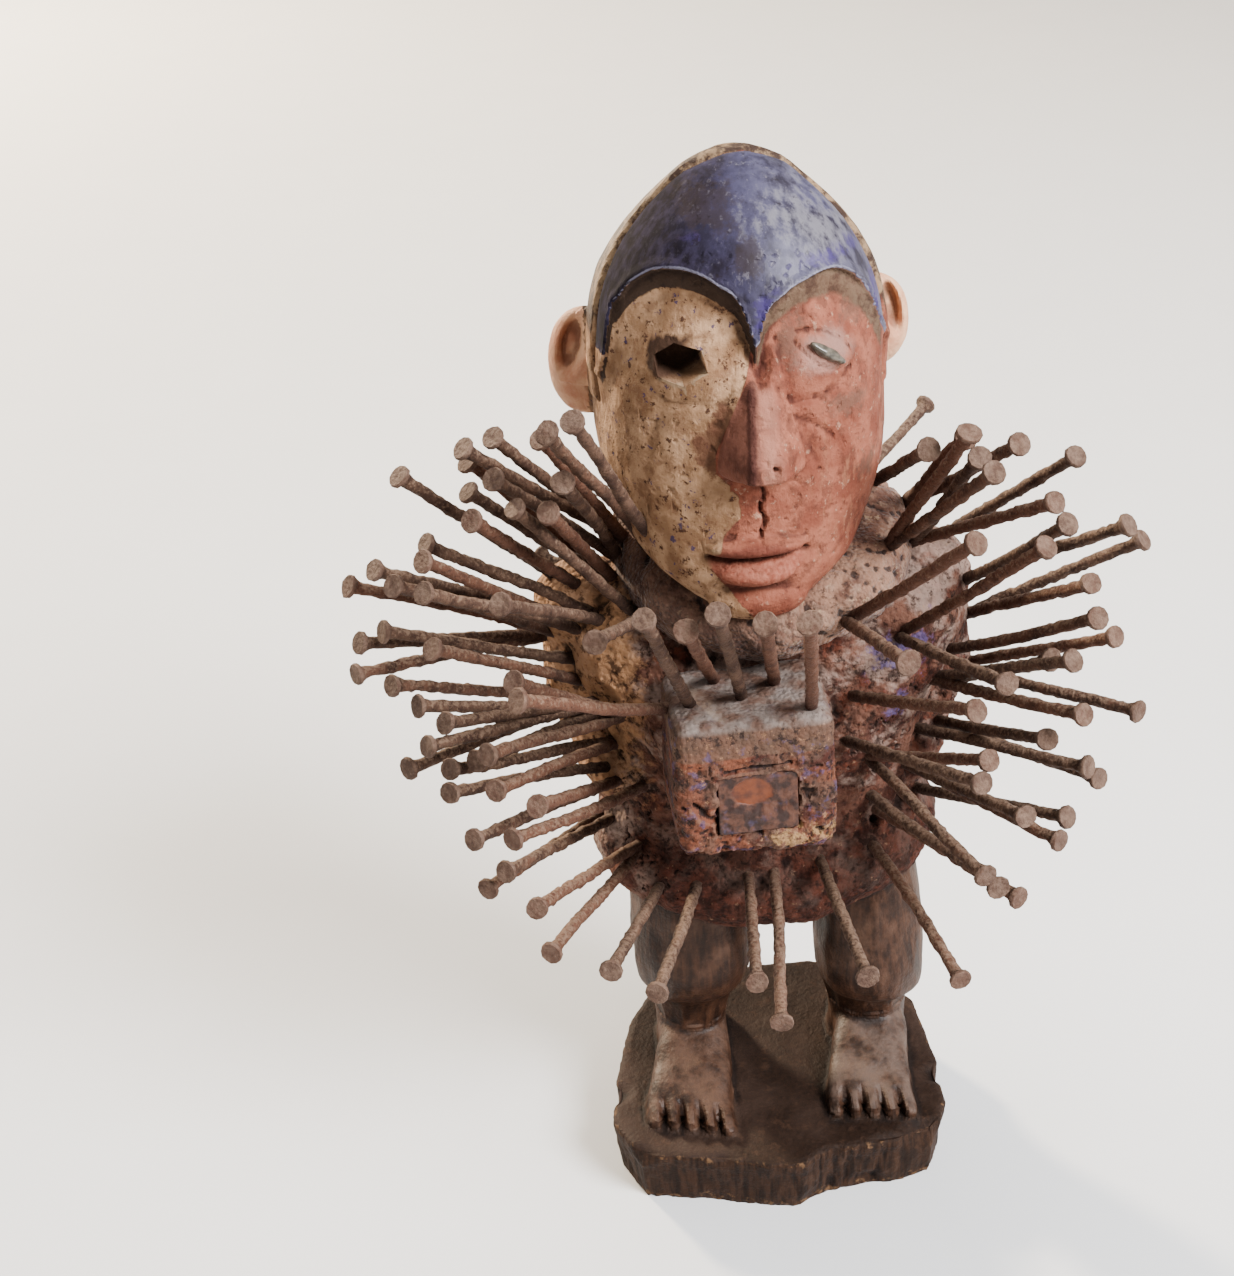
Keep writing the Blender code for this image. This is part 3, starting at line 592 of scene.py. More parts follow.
# %% Raw forms
def add_base(bm):
    """The slab, extruded from its hewn outline, with its upper edge a little wider."""
    wide, deep = BASE_TAPER
    verts = [bm.verts.new(Vector((x * wide, y * deep, 0)) * MM) for x, y in BASE_OUTLINE]
    low = bm.faces.new(verts)
    top = bmesh.ops.extrude_face_region(bm, geom=[low])["geom"]
    corners = [v for v in top if isinstance(v, bmesh.types.BMVert)]
    bmesh.ops.scale(bm, vec=(1 / wide, 1 / deep, 1), verts=corners)
    bmesh.ops.translate(bm, vec=Vector((0, 0, BASE_THICKNESS)) * MM, verts=corners)
    upper = [f for f in top if isinstance(f, bmesh.types.BMFace)]
    bmesh.ops.bevel(bm, geom=list({e for f in upper for e in f.edges}), offset=1.4 * MM, segments=2,
                    profile=0.5, affect="EDGES", material=-1)


def toe_line(foot, x):
    """How far forward a foot reaches at x: the toes end on a slant."""
    _, toe_x, width, inner_y, outer_y = foot
    outward = (x - toe_x) / width * (1 if toe_x > 0 else -1)
    return (inner_y + outer_y) / 2 + (outer_y - inner_y) * outward


def add_foot(bm, foot):
    """A wedge that slopes from the ankle to a blunt slanting toe line; the toes are cut later."""
    heel_x, toe_x, _, inner_y, outer_y = foot
    middle = (inner_y + outer_y) / 2
    places = []
    for y, x, half, top in ((18, heel_x, 8, 29), (8, heel_x, 11, 34), (-6, heel_x, 11.2, 34),
                            (-18, (heel_x + toe_x) / 2, 12.2, 29.5), (-28, toe_x, 12.8, 26),
                            (-35, toe_x, 13, 24.2), (middle, toe_x, 12.8, 22.6)):
        def place(angle, y=y, x=x, half=half, tall=(top - 15) / 2):
            across = x + half * rounded(math.cos(angle), 3.2)
            lift = 15 + tall + tall * rounded(math.sin(angle), 2.8)
            slant = (toe_line(foot, across) - middle) * float(rise(-y, 20, 38))
            return Vector((across, y + slant, lift)) * MM
        places.append(place)
    loft(bm, 32, places)


def add_head_parts(bm):
    ball(bm, (HEAD_X - 38.5, 8, 244.5), (10.5, 6.0, 15.0), (0, 8, -28))
    ball(bm, (HEAD_X + 38.0, 9, 249.5), (9.0, 5.5, 12.5), (0, -8, 28))
    places = []
    for z, ridge, foot, front in ((262, 2.4, 4.0, -41), (252, 2.6, 6.0, -43.5),
                                  (243, 3.0, 8.0, -48.5), (237, 3.8, 10.0, -53),
                                  (232.5, 4.2, 10.6, -52), (230.5, 3.6, 9.5, -48)):
        x = HEAD_X + 1.5
        outline = [(x - foot, -34), (x + foot, -34), (x + foot, -41.5), (x + ridge, front),
                   (x - ridge, front), (x - foot, -41.5)]

        def place(angle, outline=outline, z=z):
            return Vector((*outline[round(angle / math.tau * 6)], z)) * MM
        places.append(place)
    loft(bm, 6, places)
    x = HEAD_X - 0.5
    ball(bm, (x, -40.3, MOUTH_HEIGHT + 2.4), (12.0, 5.8, 2.8), (-14, 0, 0))
    ball(bm, (x, -39.8, MOUTH_HEIGHT - 3.5), (10.4, 6.8, 4.0), (8, 0, 0))
    ball(bm, (x + 0.5, -36.5, 196.5), (13, 7.5, 6.5))


bm = bmesh.new()
form(bm, TRUNK)
for vert in bm.verts:
    x, _, z = vert.co / MM
    lift = HEM_RISE * (abs(x + 3) / 48) ** 1.8 * (1 - float(rise(np.array(z), 84, 116)))
    vert.co.z += lift * MM
for stations in (HEAD, LEFT_LEG, RIGHT_LEG):
    form(bm, stations)
ball(bm, (-6, -20, 149), (27, 15, 25))
for side, reach in ((-1, 58), (1, 60)):
    bar(bm, (side * 44, 4, 186), (side * (reach - 8), 9, 140), 12.5, 11)
    bar(bm, (side * (reach - 9), 10, 144), (side * 38, -14, 122), 10.5, 8)
    ball(bm, (side * 47, 4, 176), (13, 15, 13))
for foot in FEET:
    add_foot(bm, foot)
add_head_parts(bm)
add_base(bm)
figure = show("carved_figure", bm)
apply(figure, "REMESH", mode="VOXEL", voxel_size=VOXEL * MM)
print(len(figure.data.vertices), "vertices after the remesh")


# %% [markdown]
# ### Cutting the face
#
# The carver left the forehead proud and cut a ledge under the brows, which meet in a V over
# the nose. Below the ledge the wood slopes back for about 8 mm and comes forward again at
# the cheeks. All of it is one depth, measured from the brow line downward.

# %% Brow line and face
BROW = [through(side, 0.5) for side in (LEFT_BROW, RIGHT_BROW)]
BROW = np.array(BROW[0] + BROW[1][1:])


def brow_line(x):
    """Height of the lower edge of the forehead: two arches that meet in a V over the nose."""
    return np.interp(x, BROW[:, 0], BROW[:, 1])


def cut_face(places):
    x, y, z = places.T
    side = x - HEAD_X
    spread = np.abs(side)
    below = brow_line(x) - z
    front = rise(-y, -5, 17) * (z > 225)
    fade = np.exp(-np.clip(below - 6, 0, None) ** 2 / (2 * 9.0**2))
    outer = 1 - 0.8 * rise(spread, 23, 36)
    ledge = (1.7 * rise(below, -0.3, 0.8) + 2.9 * rise(below, 0.2, 7.5)) * fade * outer
    nose = 1 - rise(9 - np.abs(side - 1.5), 0, 6) * rise(-y, 42, 44)
    lip = 0.7 * bell(below + 0.9, 1.0)
    mound = 1.8 * bell(spread - EYE_SPREAD, 9) * bell(z - EYE_HEIGHT + 1, 4.5)
    wander = lumps(places, 9.0, 4, 2, front) * 0.12
    ringed = np.hypot((spread - EYE_SPREAD + 2) / 14.5, (z - 259) / 10.8) + wander
    crease = 0.6 * bell(ringed - 1.0, 0.12) * rise(258 - z, 0, 6) * (1 - rise(spread, 24, 31))
    cheek = 0.8 * bell(side + 23 + (243 - z) * 0.25, 1.6) * bell(z - 240, 6)
    smile = 0.7 * bell(np.abs(side - 1.5) - 12.5 - (236 - z) * 0.25, 1.3) * bell(z - 233, 6)
    depth = front * (ledge * nose - lip - mound) + front * nose * (crease + cheek + smile)
    out = np.stack([side, y + 2, np.zeros_like(x)], axis=1)
    out /= np.maximum(np.linalg.norm(out, axis=1, keepdims=True), 1e-6)
    return places - out * depth[:, None]


def cut_toes(places):
    """Four grooves in each foot, which leave five long toes with rounded tips."""
    x, y, z = places.T
    made = places.copy()
    for foot in FEET:
        width = foot[2]
        line = toe_line(foot, x)
        own = (np.abs(x - foot[1]) < width / 2 + 1.5) * (z > 19.2) * (z < 32)
        length = rise(line + 9 - y, 0, 6)
        for k in range(1, TOES):
            start = foot[1] - width / 2 + width * k / TOES
            spot = start + (line + 9 - y) * (start - foot[1]) * 0.004
            groove = bell(x - spot, 0.95) * own * length
            made[:, 2] -= groove * 3.4 * rise(z, 19.6, 22.5)
            made[:, 1] += groove * 3.0 * rise(line + 5 - y, 0, 4)
        between = np.abs(((x - foot[1]) / width + 0.5) * TOES % 1 - 0.5) * 2
        made[:, 1] += own * 1.2 * between**2 * rise(line + 4 - y, 0, 3)
    return made


def cut_details(places):
    """Narrow cuts, all pushed straight back from the front of the face."""
    x, y, z = places.T
    face = (y < -30) * (z > 190)
    aside, past_eye = np.abs(x - HEAD_X), x - 14.7
    crack = bell(x + 2.3 - 0.6 * np.sin(z * 0.9), 0.55) * rise(z, 212, 214)
    mouth = bell(z - MOUTH_HEIGHT - 0.3 - 0.04 * (x + 4), 0.75)
    corners = bell(aside - 12.5, 2.0) * bell(z - MOUTH_HEIGHT, 1.6)
    under_lip = bell(z - 200.6, 2.2) * (1 - rise(aside, 7, 12))
    nostrils = bell(np.abs(x - HEAD_X - 1.5) - 4.2, 1.5) * bell(z - 230.6, 1.2) * (y < -42)
    slant = z - 258 + 0.55 * past_eye
    lid_top = bell(slant - 4.0 + 0.05 * past_eye**2, 0.7) * (np.abs(past_eye) < 8.0)
    lid_low = bell(slant + 3.6 - 0.04 * past_eye**2, 0.7) * (np.abs(past_eye) < 8.0)
    chip = bell(np.hypot(x + 0.2, z - 236.5), 0.75) * (y < -48)
    fold = bell(z - 246 + 0.9 * (x - 6) + 0.03 * (x - 14) ** 2, 1.2) * (x > 2) * (x < 16)
    pits = rise(lumps(places, 2.3, 12, 2, face * 1.0), 0.4, 0.55)
    push = face * (1.5 * crack * (1 - rise(z, 227, 230)) + 1.8 * mouth * (1 - rise(aside, 11, 13.5))
                   + 0.8 * corners + under_lip + 1.8 * nostrils + 0.7 * lid_top + 0.6 * lid_low
                   + 2.0 * chip + 0.7 * fold + 0.35 * pits)
    made = places.copy()
    made[:, 1] += push
    return made


def cut_ears(places):
    """A shell in the upper inner part of each ear, with a broad rim and lobe left around it."""
    x, y, z = places[:, 0] - HEAD_X, places[:, 1], places[:, 2]
    push = np.zeros_like(x)
    for centre, level, lean, wide, tall in ((-41.6, 249.5, 0.25, 3.6, 8.0),
                                            (40.8, 253.0, -0.2, 2.8, 7.5)):
        away = np.hypot((x - centre - (z - level) * lean) / wide, (z - level) / tall)
        push += 4.0 * (1 - rise(away, 0.45, 1.15))
    made = places.copy()
    made[:, 1] += push * (y < 9) * rise(np.abs(x), 36.5, 38.5)
    return made


places, _ = read(figure.data)
places = cut_toes(cut_ears(cut_details(cut_face(places))))
write(figure.data, places)
peaks = [max(height for _, height in side) for side in (LEFT_BROW, RIGHT_BROW)]
print("face cut under brows that peak at", peaks, "mm")


# %% [markdown]
# ### Cap, crust, tool marks and chips
#
# A painted forehead ends at a low rim, behind which the wood stands a little proud.
# The trunk carries a lumpy crust, heaped round each nail, with a crater on one side of the
# belly. Legs and base show shallow scallops from the adze, and the base's end grain is split.

# %% Zones of the figure
def hem(x):
    """Height of the crust's lower edge, which arches up over each hip."""
    return 85 + HEM_RISE * (np.abs(x + 3) / 48) ** 1.8


def zones(places):
    """Soft masks from 0 to 1, by place: forehead, trunk's crust, bare wood, and the cap's rim."""
    x, y, z = places.T
    rim = -6.5 - 0.2 * np.clip(286 - z, 0, 20) + 1.2 * np.sin(x * 0.15)
    lowest = np.where(x < 0, 255, 250)
    forehead = rise(z - brow_line(x), -0.4, 0.3) * rise(rim - y, -0.4, 0.4)
    forehead = forehead * rise(z - lowest, -1, 1)
    crust = rise(z - hem(x), -1.5, 1.5) * (1 - rise(z, 184, 196))
    return forehead, crust, 1 - crust, rim


def heap(places, spots, radius):
    """1 at each spot, fading to nothing at a radius."""
    near = np.full(len(places), 1e9)
    for spot in spots:
        near = np.minimum(near, ((places - spot) ** 2).sum(axis=1))
    return np.exp(-near / radius**2)


places, normals = read(figure.data)
forehead, crust, bare, rim = zones(places)
x, y, z = places.T
old = np.array([noise.noise(p) for p in (places / 14.0).tolist()])
out = old * crust * 1.6
out += lumps(places, 5.0, 1, 4, crust) * crust * 0.75
out += heap(places, roots, 3.4) * crust * 0.9
rough = np.abs(lumps(places, 9.0, 2, 3, crust))
cracked = rise(lumps(places, 30.0, 3, 2, crust), 0.1, 0.25)
out -= 0.9 * crust * (1 - rise(rough, 0.0, 0.05)) * cracked
out += 0.8 * bell(z - hem(x) - 1.0, 1.8) * crust
for spot, radius, depth in (((38.6, -17.5, 116.7), 4.6, 4.5), ((29.1, -24.0, 115.2), 1.8, 3.0),
                            ((-34, -24, 122), 3.0, 2.0), ((20, 34, 140), 5.0, 2.5)):
    away = np.linalg.norm(places - spot, axis=1) / radius
    out -= depth * (1 - rise(away, 0.2, 1.1))
    out += 0.6 * bell(away - 1.35, 0.25)
hairline = bell(y - rim, 1.0) * (z > 240)
out += (0.7 * rise(y - rim, 0.2, 1.2) * (1 - rise(y - rim, 10, 22)) - 0.7 * hairline) * (z > 240)
carved = bare * (1 - forehead) * ((z < 92) | (y > 6)) * (z > 20)
out -= 0.5 * carved * (1 - rise(scallops(places * (1, 1, 0.55), 9.0, carved), 0.0, 0.75))
out += lumps(places, 11.0, 5, 3, bare) * bare * 0.22
legs = bare * (z < 92) * (z > 34)
flutes = np.arctan2(y, np.abs(x) - 26) * 4.5 + lumps(places, 25.0, 9, 2, legs)
out -= 0.55 * legs * np.abs(np.sin(flutes))
write(figure.data, places + normals * out[:, None])

places, normals = read(figure.data)
x, y, z = places.T
slab = 1 - rise(z, 19.8, 22.0)
side = slab * (1 - np.abs(normals[:, 2]))
grain = lumps(places * (1, 1, 0.14), 2.6, 6, 3, side)
top = slab * (normals[:, 2] > 0.6)
hewn = 0.9 * (1 - rise(scallops(places * (1, 0.45, 1), 13.0, top), 0.0, 0.8))
split = 0.25 + 0.9 * bell(x - 17, 14) * (y < -40)
out = side * (np.minimum(grain, 0.3) * split + lumps(places, 9.0, 7, 3, side) * 0.5)
out -= top * hewn * 0.6
out += slab * side * 0.5 * rise(z, 12, 16)
for spot, radius, depth in (((42, -48, 19), 9, 2.6), ((30, -50, 21), 6, 1.6),
                            ((-44, -47, 19), 6, 1.8), ((10, -55, 1), 7, 2.4),
                            ((24, -50, 2), 6, 2.0), ((-20, -52, 20), 5, 1.2),
                            ((50, -22, 18), 6, 1.6), ((-50, -20, 19), 6, 1.5),
                            ((40, 28, 19), 7, 2.2)):
    away = np.linalg.norm((places - spot) / (1.3, 1.0, 1.0), axis=1) / radius
    out -= depth * (1 - rise(away, 0.3, 1.0)) * slab
made = places + normals * out[:, None]
made[:, 2] = np.where(places[:, 2] < 0.4, 0.0, np.clip(made[:, 2], 0.0, 300.0))
write(figure.data, made)
decimate(figure, WOOD_TRIANGLES)
print(len(figure.data.polygons), "faces on the figure")

# %% [markdown]
# ### The empty socket
#
# One eye has lost its glass. The socket was cut square with a chisel: six uneven sides, steep
# walls and a flat floor. A Boolean keeps those edges sharp, which moved vertices would not.

# %% Cut the socket
SOCKET_DEPTH = 14
bm = bmesh.new()
bmesh.ops.create_cone(bm, cap_ends=True, segments=6, radius1=7.2 * MM, radius2=5.6 * MM,
                      depth=SOCKET_DEPTH * MM)
turn = Matrix.Rotation(math.radians(-90), 4, "X")
turn = Matrix.Rotation(math.radians(-10), 4, "Y") @ Matrix.Diagonal((1, 1, 0.72, 1)) @ turn
spot = Matrix.Translation(Vector((HEAD_X - EYE_SPREAD, -34, EYE_HEIGHT)) * MM)
bmesh.ops.transform(bm, matrix=spot @ turn, verts=bm.verts)
cutter = show("socket_cut", bm)
apply(figure, "BOOLEAN", operation="DIFFERENCE", object=cutter, solver="EXACT")
bpy.data.objects.remove(cutter)
print(len(figure.data.polygons), "faces with the socket")


# %% [markdown]
# ### Paint and crust
#
# The forehead is ultramarine, worn to grey on its bulge, with a painted sheen on its right.
# One half of the face is white clay and the other red wood powder; they meet along the flank
# of the nose. The trunk's crust is red-brown with violet and white traces, and bare wood is
# nearly black with tan edges.

# %% Masks on the figure
DIVIDE = [(190, -4), (194, -6), (200, -11), (206, -15), (214, -12), (220, -7), (226, -8),
          (231, -13), (236, -13), (246, -9), (255, -5), (264, -3)]
LEDGE_FOOT = 246


def paint_masks(mesh):
    places, _ = read(mesh)
    forehead, crust, _, rim = zones(places)
    x, y, z = places.T
    side = x - HEAD_X
    below = brow_line(x) - z
    divide = np.interp(z, *np.array(DIVIDE).T)
    front = rise(-y, np.where(x < 0, -16, -12), np.where(x < 0, -6, 0))
    front = front * rise(z, 188, 192) * (np.abs(side) < 38.8)
    skin = front * (1 - forehead) * (1 - rise(y - rim, 0, 2) * rise(z, 250, 264))
    ledge = rise(below, -0.3, 0.4) * (z > LEDGE_FOOT) * rise(-y, 10, 20) * skin
    band = np.where(x < -2.5, 5.8, 7.5 + 2.5 * rise(x, 5, 22))
    lips = np.hypot((x + 4) / 12.6, (z - MOUTH_HEIGHT + 0.7) / 5.9)
    flank = rise(-3.8 + (z - 232) * 0.04 - x, -0.6, 0.6) * rise(x - divide + 1, 0, 2)
    nose_flank_shadow = bell(x + 5.6 - (z - 235) * 0.07, 1.3) * (z > 232) * (z < 258)
    socket = np.hypot((side + EYE_SPREAD + 0.4) / 6.6, (z - EYE_HEIGHT - 0.4) / 5.0) < 1.08

    def spots(*rows):
        """Soft spots on the front: each has a centre, a width, a height and a strength."""
        return sum(strength * np.exp(-((x - centre) / wide) ** 2 - ((z - height) / tall) ** 2)
                   for centre, height, wide, tall, strength in rows)

    made = {
        "forehead": forehead,
        "crust": crust * (1 - front),
        "white": skin * rise(divide - x, -0.8, 0.8),
        "red": skin * rise(x - divide, -0.8, 0.8),
        # painted shadow of the brow ledge on the left of the face
        "ledge_shadow": ledge * (1 - rise(below, band * 0.7, band)) * (x < -2.5),
        "ledge_olive": ledge * (1 - rise(below, band * 0.5, band)) * (x >= -2.5),
        "brow_edge": (z > LEDGE_FOOT) * rise(-y, 10, 20) * bell(below + 0.3, 0.7),
        "lips": (1 - rise(lips, 0.85, 1.0)) * (y < -34),
        "upper_lip": rise(z - MOUTH_HEIGHT - 0.3 - 0.04 * (x + 4), -0.3, 0.3),
        # the nose's left flank: red-brown paint, darkened further as painted shade
        "flank": flank * (z > 230) * (z < 260) * rise(-y, 39, 42),
        # painted shadow along the left edge of the nose's ridge
        "nose_flank_shadow": nose_flank_shadow * rise(-y, 40, 43),
        "sheen": rise(x, -10, 14) * forehead,
        "shade": (1 - rise(x, -22, 6)) * forehead,
        "blush": skin * rise(x, 4, 20) * rise(-z, -252, -236),
        # the nose's pink ridge; its lighter colour is partly a painted highlight
        "ridge": bell(x + 1.2, 2.6) * (z > 231) * (z < 262) * rise(-y, 41, 44),
        "pale_eye": spots((14, 258, 9, 6, 1)) * skin,
        "smudge": spots((-10, 243, 4.5, 7, 1), (-15, 236, 5, 6, 1)) * skin,
        # darker brown spots under the right brow and on the right of the red half
        "grime": spots((6, 262, 4, 7, 1), (24, 264, 8, 4, 1), (20, 244, 9, 4, 1),
                       (26, 226, 5, 9, 0.7)) * skin,
        "chin": spots((-3, 194, 12, 5, 1)) * skin,
        "ultra": spots((2, 270, 7, 6, 1), (17, 279, 12, 3, 1), (29, 266, 4, 9, 1),
                       (-14, 285, 5, 3, 0.7), (-33, 262, 3, 8, 1)) * forehead,
        # worn grey on the dome, and a painted sheen over the right brow
        "greyed": spots((6, 288, 13, 7, 0.7), (19, 282, 9, 6, 0.7)) * forehead,
        "scuffed": spots((-12, 291, 9, 6, 1), (-3, 281, 4, 5, 1)) * forehead,
        "ear": (np.abs(side) > 38.2) * (z > 226) * (z < 268) * 1.0,
        "cap": rise(y - rim, -0.3, 0.6) * (1 - rise(y - rim, 4, 14)) * rise(z, 250, 272),
        "violet": spots((36, 168, 12, 8, 1), (36, 150, 6, 6, 1)) * crust * (y < 6),
        # the crust darker towards the bottom, under the block: painted shade
        "low": crust * (1 - rise(z, 100, 138)) * rise(x, -44, -30),
        # where the painted sheen on the wood is greyer: mostly the right foot
        "foot": (1 - rise(z, 34, 42)) * np.where(x > 0, 0.9, 0.15),
        "oiled": (1 - rise(z, 80, 90)) * rise(z, 19.2, 21),
        "slab": 1 - rise(z, 19.6, 20.6),
        # cream on the left of the trunk and arm: painted sunlight on the crust
        "sunned": crust * rise(-x, 24, 44) * rise(z, 105, 140) * (1 - rise(y, 6, 22)),
        "worn": relief(mesh) * np.where((z < 32) & (z > 19) & (y < -22), 1.2, 4.0),
        "stain": heap(places, roots, 3.0),
        "socket": socket * (y > -35.4) * (y < -20) * (z > 250),
    }
    for name, values in made.items():
        paint(mesh, name, values)
    spread = np.round(np.percentile(made["worn"], [5, 50, 95, 99]), 2)
    print(len(made), "masks; worn runs over", spread)


paint_masks(figure.data)


# %% Material of the figure
def carved_wood():
    made = Surface("carved wood, painted and crusted",
                   {"Specular IOR Level": 0.1, "Coat Roughness": 0.42})
    blend, coats, ragged = made.blend, made.coats, made.ragged
    noise_at, mask = made.noise, made.mask
    worn, crust, up = mask("worn"), mask("crust"), made.upward()
    fine, middle, broad = noise_at(1.2, 5), noise_at(7, 4, shift=2.0), noise_at(26, 3, shift=5.0)
    speck, blotch = noise_at(2.2, 6, 0.7, shift=29.0), noise_at(4.5, 6, 0.7, shift=17.0)
    along = noise_at(1.6, 6, 0.6, made.stretched((1, 1, 0.1)), 3.0)
    brushed = noise_at(3.0, 6, 0.65, made.stretched((1, 1, 0.3)), 21.0)
    streaks = noise_at(1.8, 6, 0.75, made.stretched((1, 1, 0.4)), 37.0)
    edge = (worn + (fine - 0.5) * 1.2).step(0.9, 1.5)
    hollow = ((fine - 0.5) * 0.4 - worn).step(0.15, 0.9)
    level = up.step(0.4, 0.8)

    # The base: its grain is darker on the top, where greyish patches are dust and a painted sheen.
    slab = coats(
        blend(along.step(0.35, 0.65) * (1 - level * 0.75), (40, 25, 16), (76, 51, 36)),
        (level * broad.step(0.35, 0.65) * 0.7, (82, 62, 52)),
        (blotch.step(0.54, 0.64) * 0.35, (96, 68, 51)),
        (edge * speck.step(0.5, 0.6) * 0.8, (140, 104, 72)))
    dark = coats(
        blend((along * 0.6 + middle * 0.4).step(0.38, 0.62), (46, 27, 17), (92, 60, 42)),
        # lighter patches, more on up-facing wood: dust and a painted sheen, greyer on the right
        # foot
        ((middle + up * 0.22).step(0.5, 0.8) * 0.6,
         blend(mask("foot"), (124, 92, 74), (136, 116, 104))),
        (speck.step(0.58, 0.7) * 0.5, (100, 66, 48)),
        (edge * blotch.step(0.48, 0.58) * 0.6, (122, 88, 64)),
        (mask("slab"), slab),
        (hollow * 0.8, (30, 21, 17)))
    clay = coats(
        blend(middle.step(0.4, 0.6), (84, 48, 38), (146, 100, 82)),
        (blotch.step(0.52, 0.64) * 0.6, (150, 80, 58)),
        ((noise_at(11, 5, shift=8.0) + up * 0.12).step(0.48, 0.62) * 0.65, (206, 176, 160)),
        (ragged("violet", blotch, 3.2, 0.6, 1.0) * 0.75, (112, 100, 156)),
        # painted shade on the lower trunk, under the block
        (mask("low") * 0.85, blend(blotch.step(0.4, 0.6), (52, 29, 23), (104, 56, 42))),
        (speck.step(0.6, 0.68) * 0.75, (188, 144, 114)),
        # painted sunlight: cream on the left of the trunk and arm
        (ragged("sunned", blotch, 2.0, 0.3, 0.8) * 0.7, (256, 192, 138)),
        (hollow * 0.85, (36, 22, 19)),
        (noise_at(3.2, 5, 0.7, shift=31.0).step(0.52, 0.62) * 0.8, (42, 25, 20)))
    blue = coats(
        blend((noise_at(14, 4, shift=12.0) * 0.7 + brushed * 0.3).step(0.42, 0.6),
              (50, 44, 60), (84, 80, 112)),
        (mask("sheen") * brushed.step(0.35, 0.6) * 0.65, (122, 118, 140)),
        (mask("shade") * 0.95, blend(brushed.step(0.4, 0.62), (26, 18, 26), (54, 46, 66))),
        (ragged("ultra", blotch, 2.2, 0.5, 1.0) * 0.85, (78, 62, 126)),
        # worn grey paint, and a painted sheen on the forehead's right
        (ragged("greyed", brushed, 2.6, 0.4, 1.0) * 0.8, (142, 138, 146)),
        (ragged("scuffed", blotch, 2.4, 0.4, 0.8) * 0.6, (62, 50, 48)),
        (speck.step(0.56, 0.66) * 0.7, (38, 29, 33)),
        (streaks.step(0.55, 0.66) * (0.55 - mask("shade") * 0.45), (152, 146, 158)))
    white = coats(
        blend(middle.step(0.38, 0.62), (232, 184, 142), (178, 134, 98)),
        (blotch.step(0.5, 0.6) * 0.55, (142, 98, 70)),
        (speck.step(0.57, 0.62) * 0.9, (80, 50, 38)),
        (noise_at(2.6, 4, 0.7, shift=41.0).step(0.62, 0.65) * 0.85, (74, 66, 108)),
        (ragged("smudge", blotch, 2.0, 0.4, 0.8) * 0.8, (112, 70, 52)),
        (edge * 0.6, (214, 184, 148)),
        (hollow * 0.75, (88, 60, 44)))
    red = coats(
        blend(middle.step(0.38, 0.62), (194, 118, 92), (156, 86, 66)),
        (blotch.step(0.5, 0.6) * 0.6, (122, 70, 54)),
        (brushed.step(0.54, 0.64) * mask("blush") * 0.5, (206, 138, 104)),
        (speck.step(0.59, 0.64) * 0.7, (216, 166, 138)),
        (noise_at(2.0, 6, 0.75, shift=47.0).step(0.57, 0.63) * 0.6, (104, 56, 46)),
        (ragged("pale_eye", blotch, 1.2, 0.3, 0.9) * 0.7, (206, 158, 142)),
        # darker brown spots on the red half
        (ragged("grime", blotch, 2.2, 0.4, 0.9) * 0.65, (132, 96, 80)),
        (mask("chin") * 0.6, (148, 76, 56)),
        # pink ridge of the nose, made lighter as a painted highlight
        (mask("ridge") * 0.8, (214, 146, 122)),
        (hollow * 0.8, (84, 44, 36)))
    lips = coats(
        blend(fine.step(0.35, 0.7), (198, 122, 98), (166, 90, 70)),
        (ragged("upper_lip", blotch, 0.6, 0.3, 0.7) * 0.8, (126, 66, 52)),
        (hollow * 0.7, (76, 38, 31)))
    # The ears' orange-cream is pushed lighter than any paint: partly painted sunlight.
    ear = coats(
        blend(middle.step(0.35, 0.65), (312, 244, 192), (262, 180, 138)),
        (hollow * 0.6, (120, 62, 46)))

    colour = coats(
        dark,
        (crust, clay),
        (ragged("white", blotch, 0.8, 0.35, 0.6), white),
        (ragged("red", blotch, 0.8, 0.4, 0.65), red),
        (mask("lips"), lips),
        # red-brown paint on the nose's left flank, with painted shade
        (ragged("flank", fine, 0.3, 0.3, 0.6),
         blend(middle.step(0.4, 0.6), (120, 74, 61), (164, 106, 88))),
        # painted shadow beside the nose's ridge
        (ragged("nose_flank_shadow", fine, 0.5, 0.3, 0.8) * 0.8, (78, 42, 36)),
        # painted shadow under the left brow ledge
        (ragged("ledge_shadow", blotch, 0.8, 0.3, 0.6) * 0.95,
         blend(middle, (44, 32, 30), (78, 60, 50))),
        (ragged("ledge_olive", blotch, 0.8, 0.3, 0.8) * 0.9,
         blend(blotch.step(0.4, 0.6), (78, 62, 50), (132, 108, 86))),
        (ragged("forehead", fine, 0.25, 0.4, 0.6), blue),
        (ragged("brow_edge", blotch, 0.9, 0.5, 0.9) * 0.7, (170, 166, 190)),
        (ragged("ear", blotch, 0.5, 0.3, 0.7) * 0.9, ear),
        (ragged("cap", fine, 0.9, 0.3, 0.7),
         blend(blotch.step(0.42, 0.58), (186, 152, 116), (78, 58, 48))),
        (mask("socket"), blend(blotch, (58, 40, 30), (104, 74, 56))),
        (ragged("stain", fine, 0.5, 0.35, 0.75) * crust * 0.75, (46, 27, 23)))

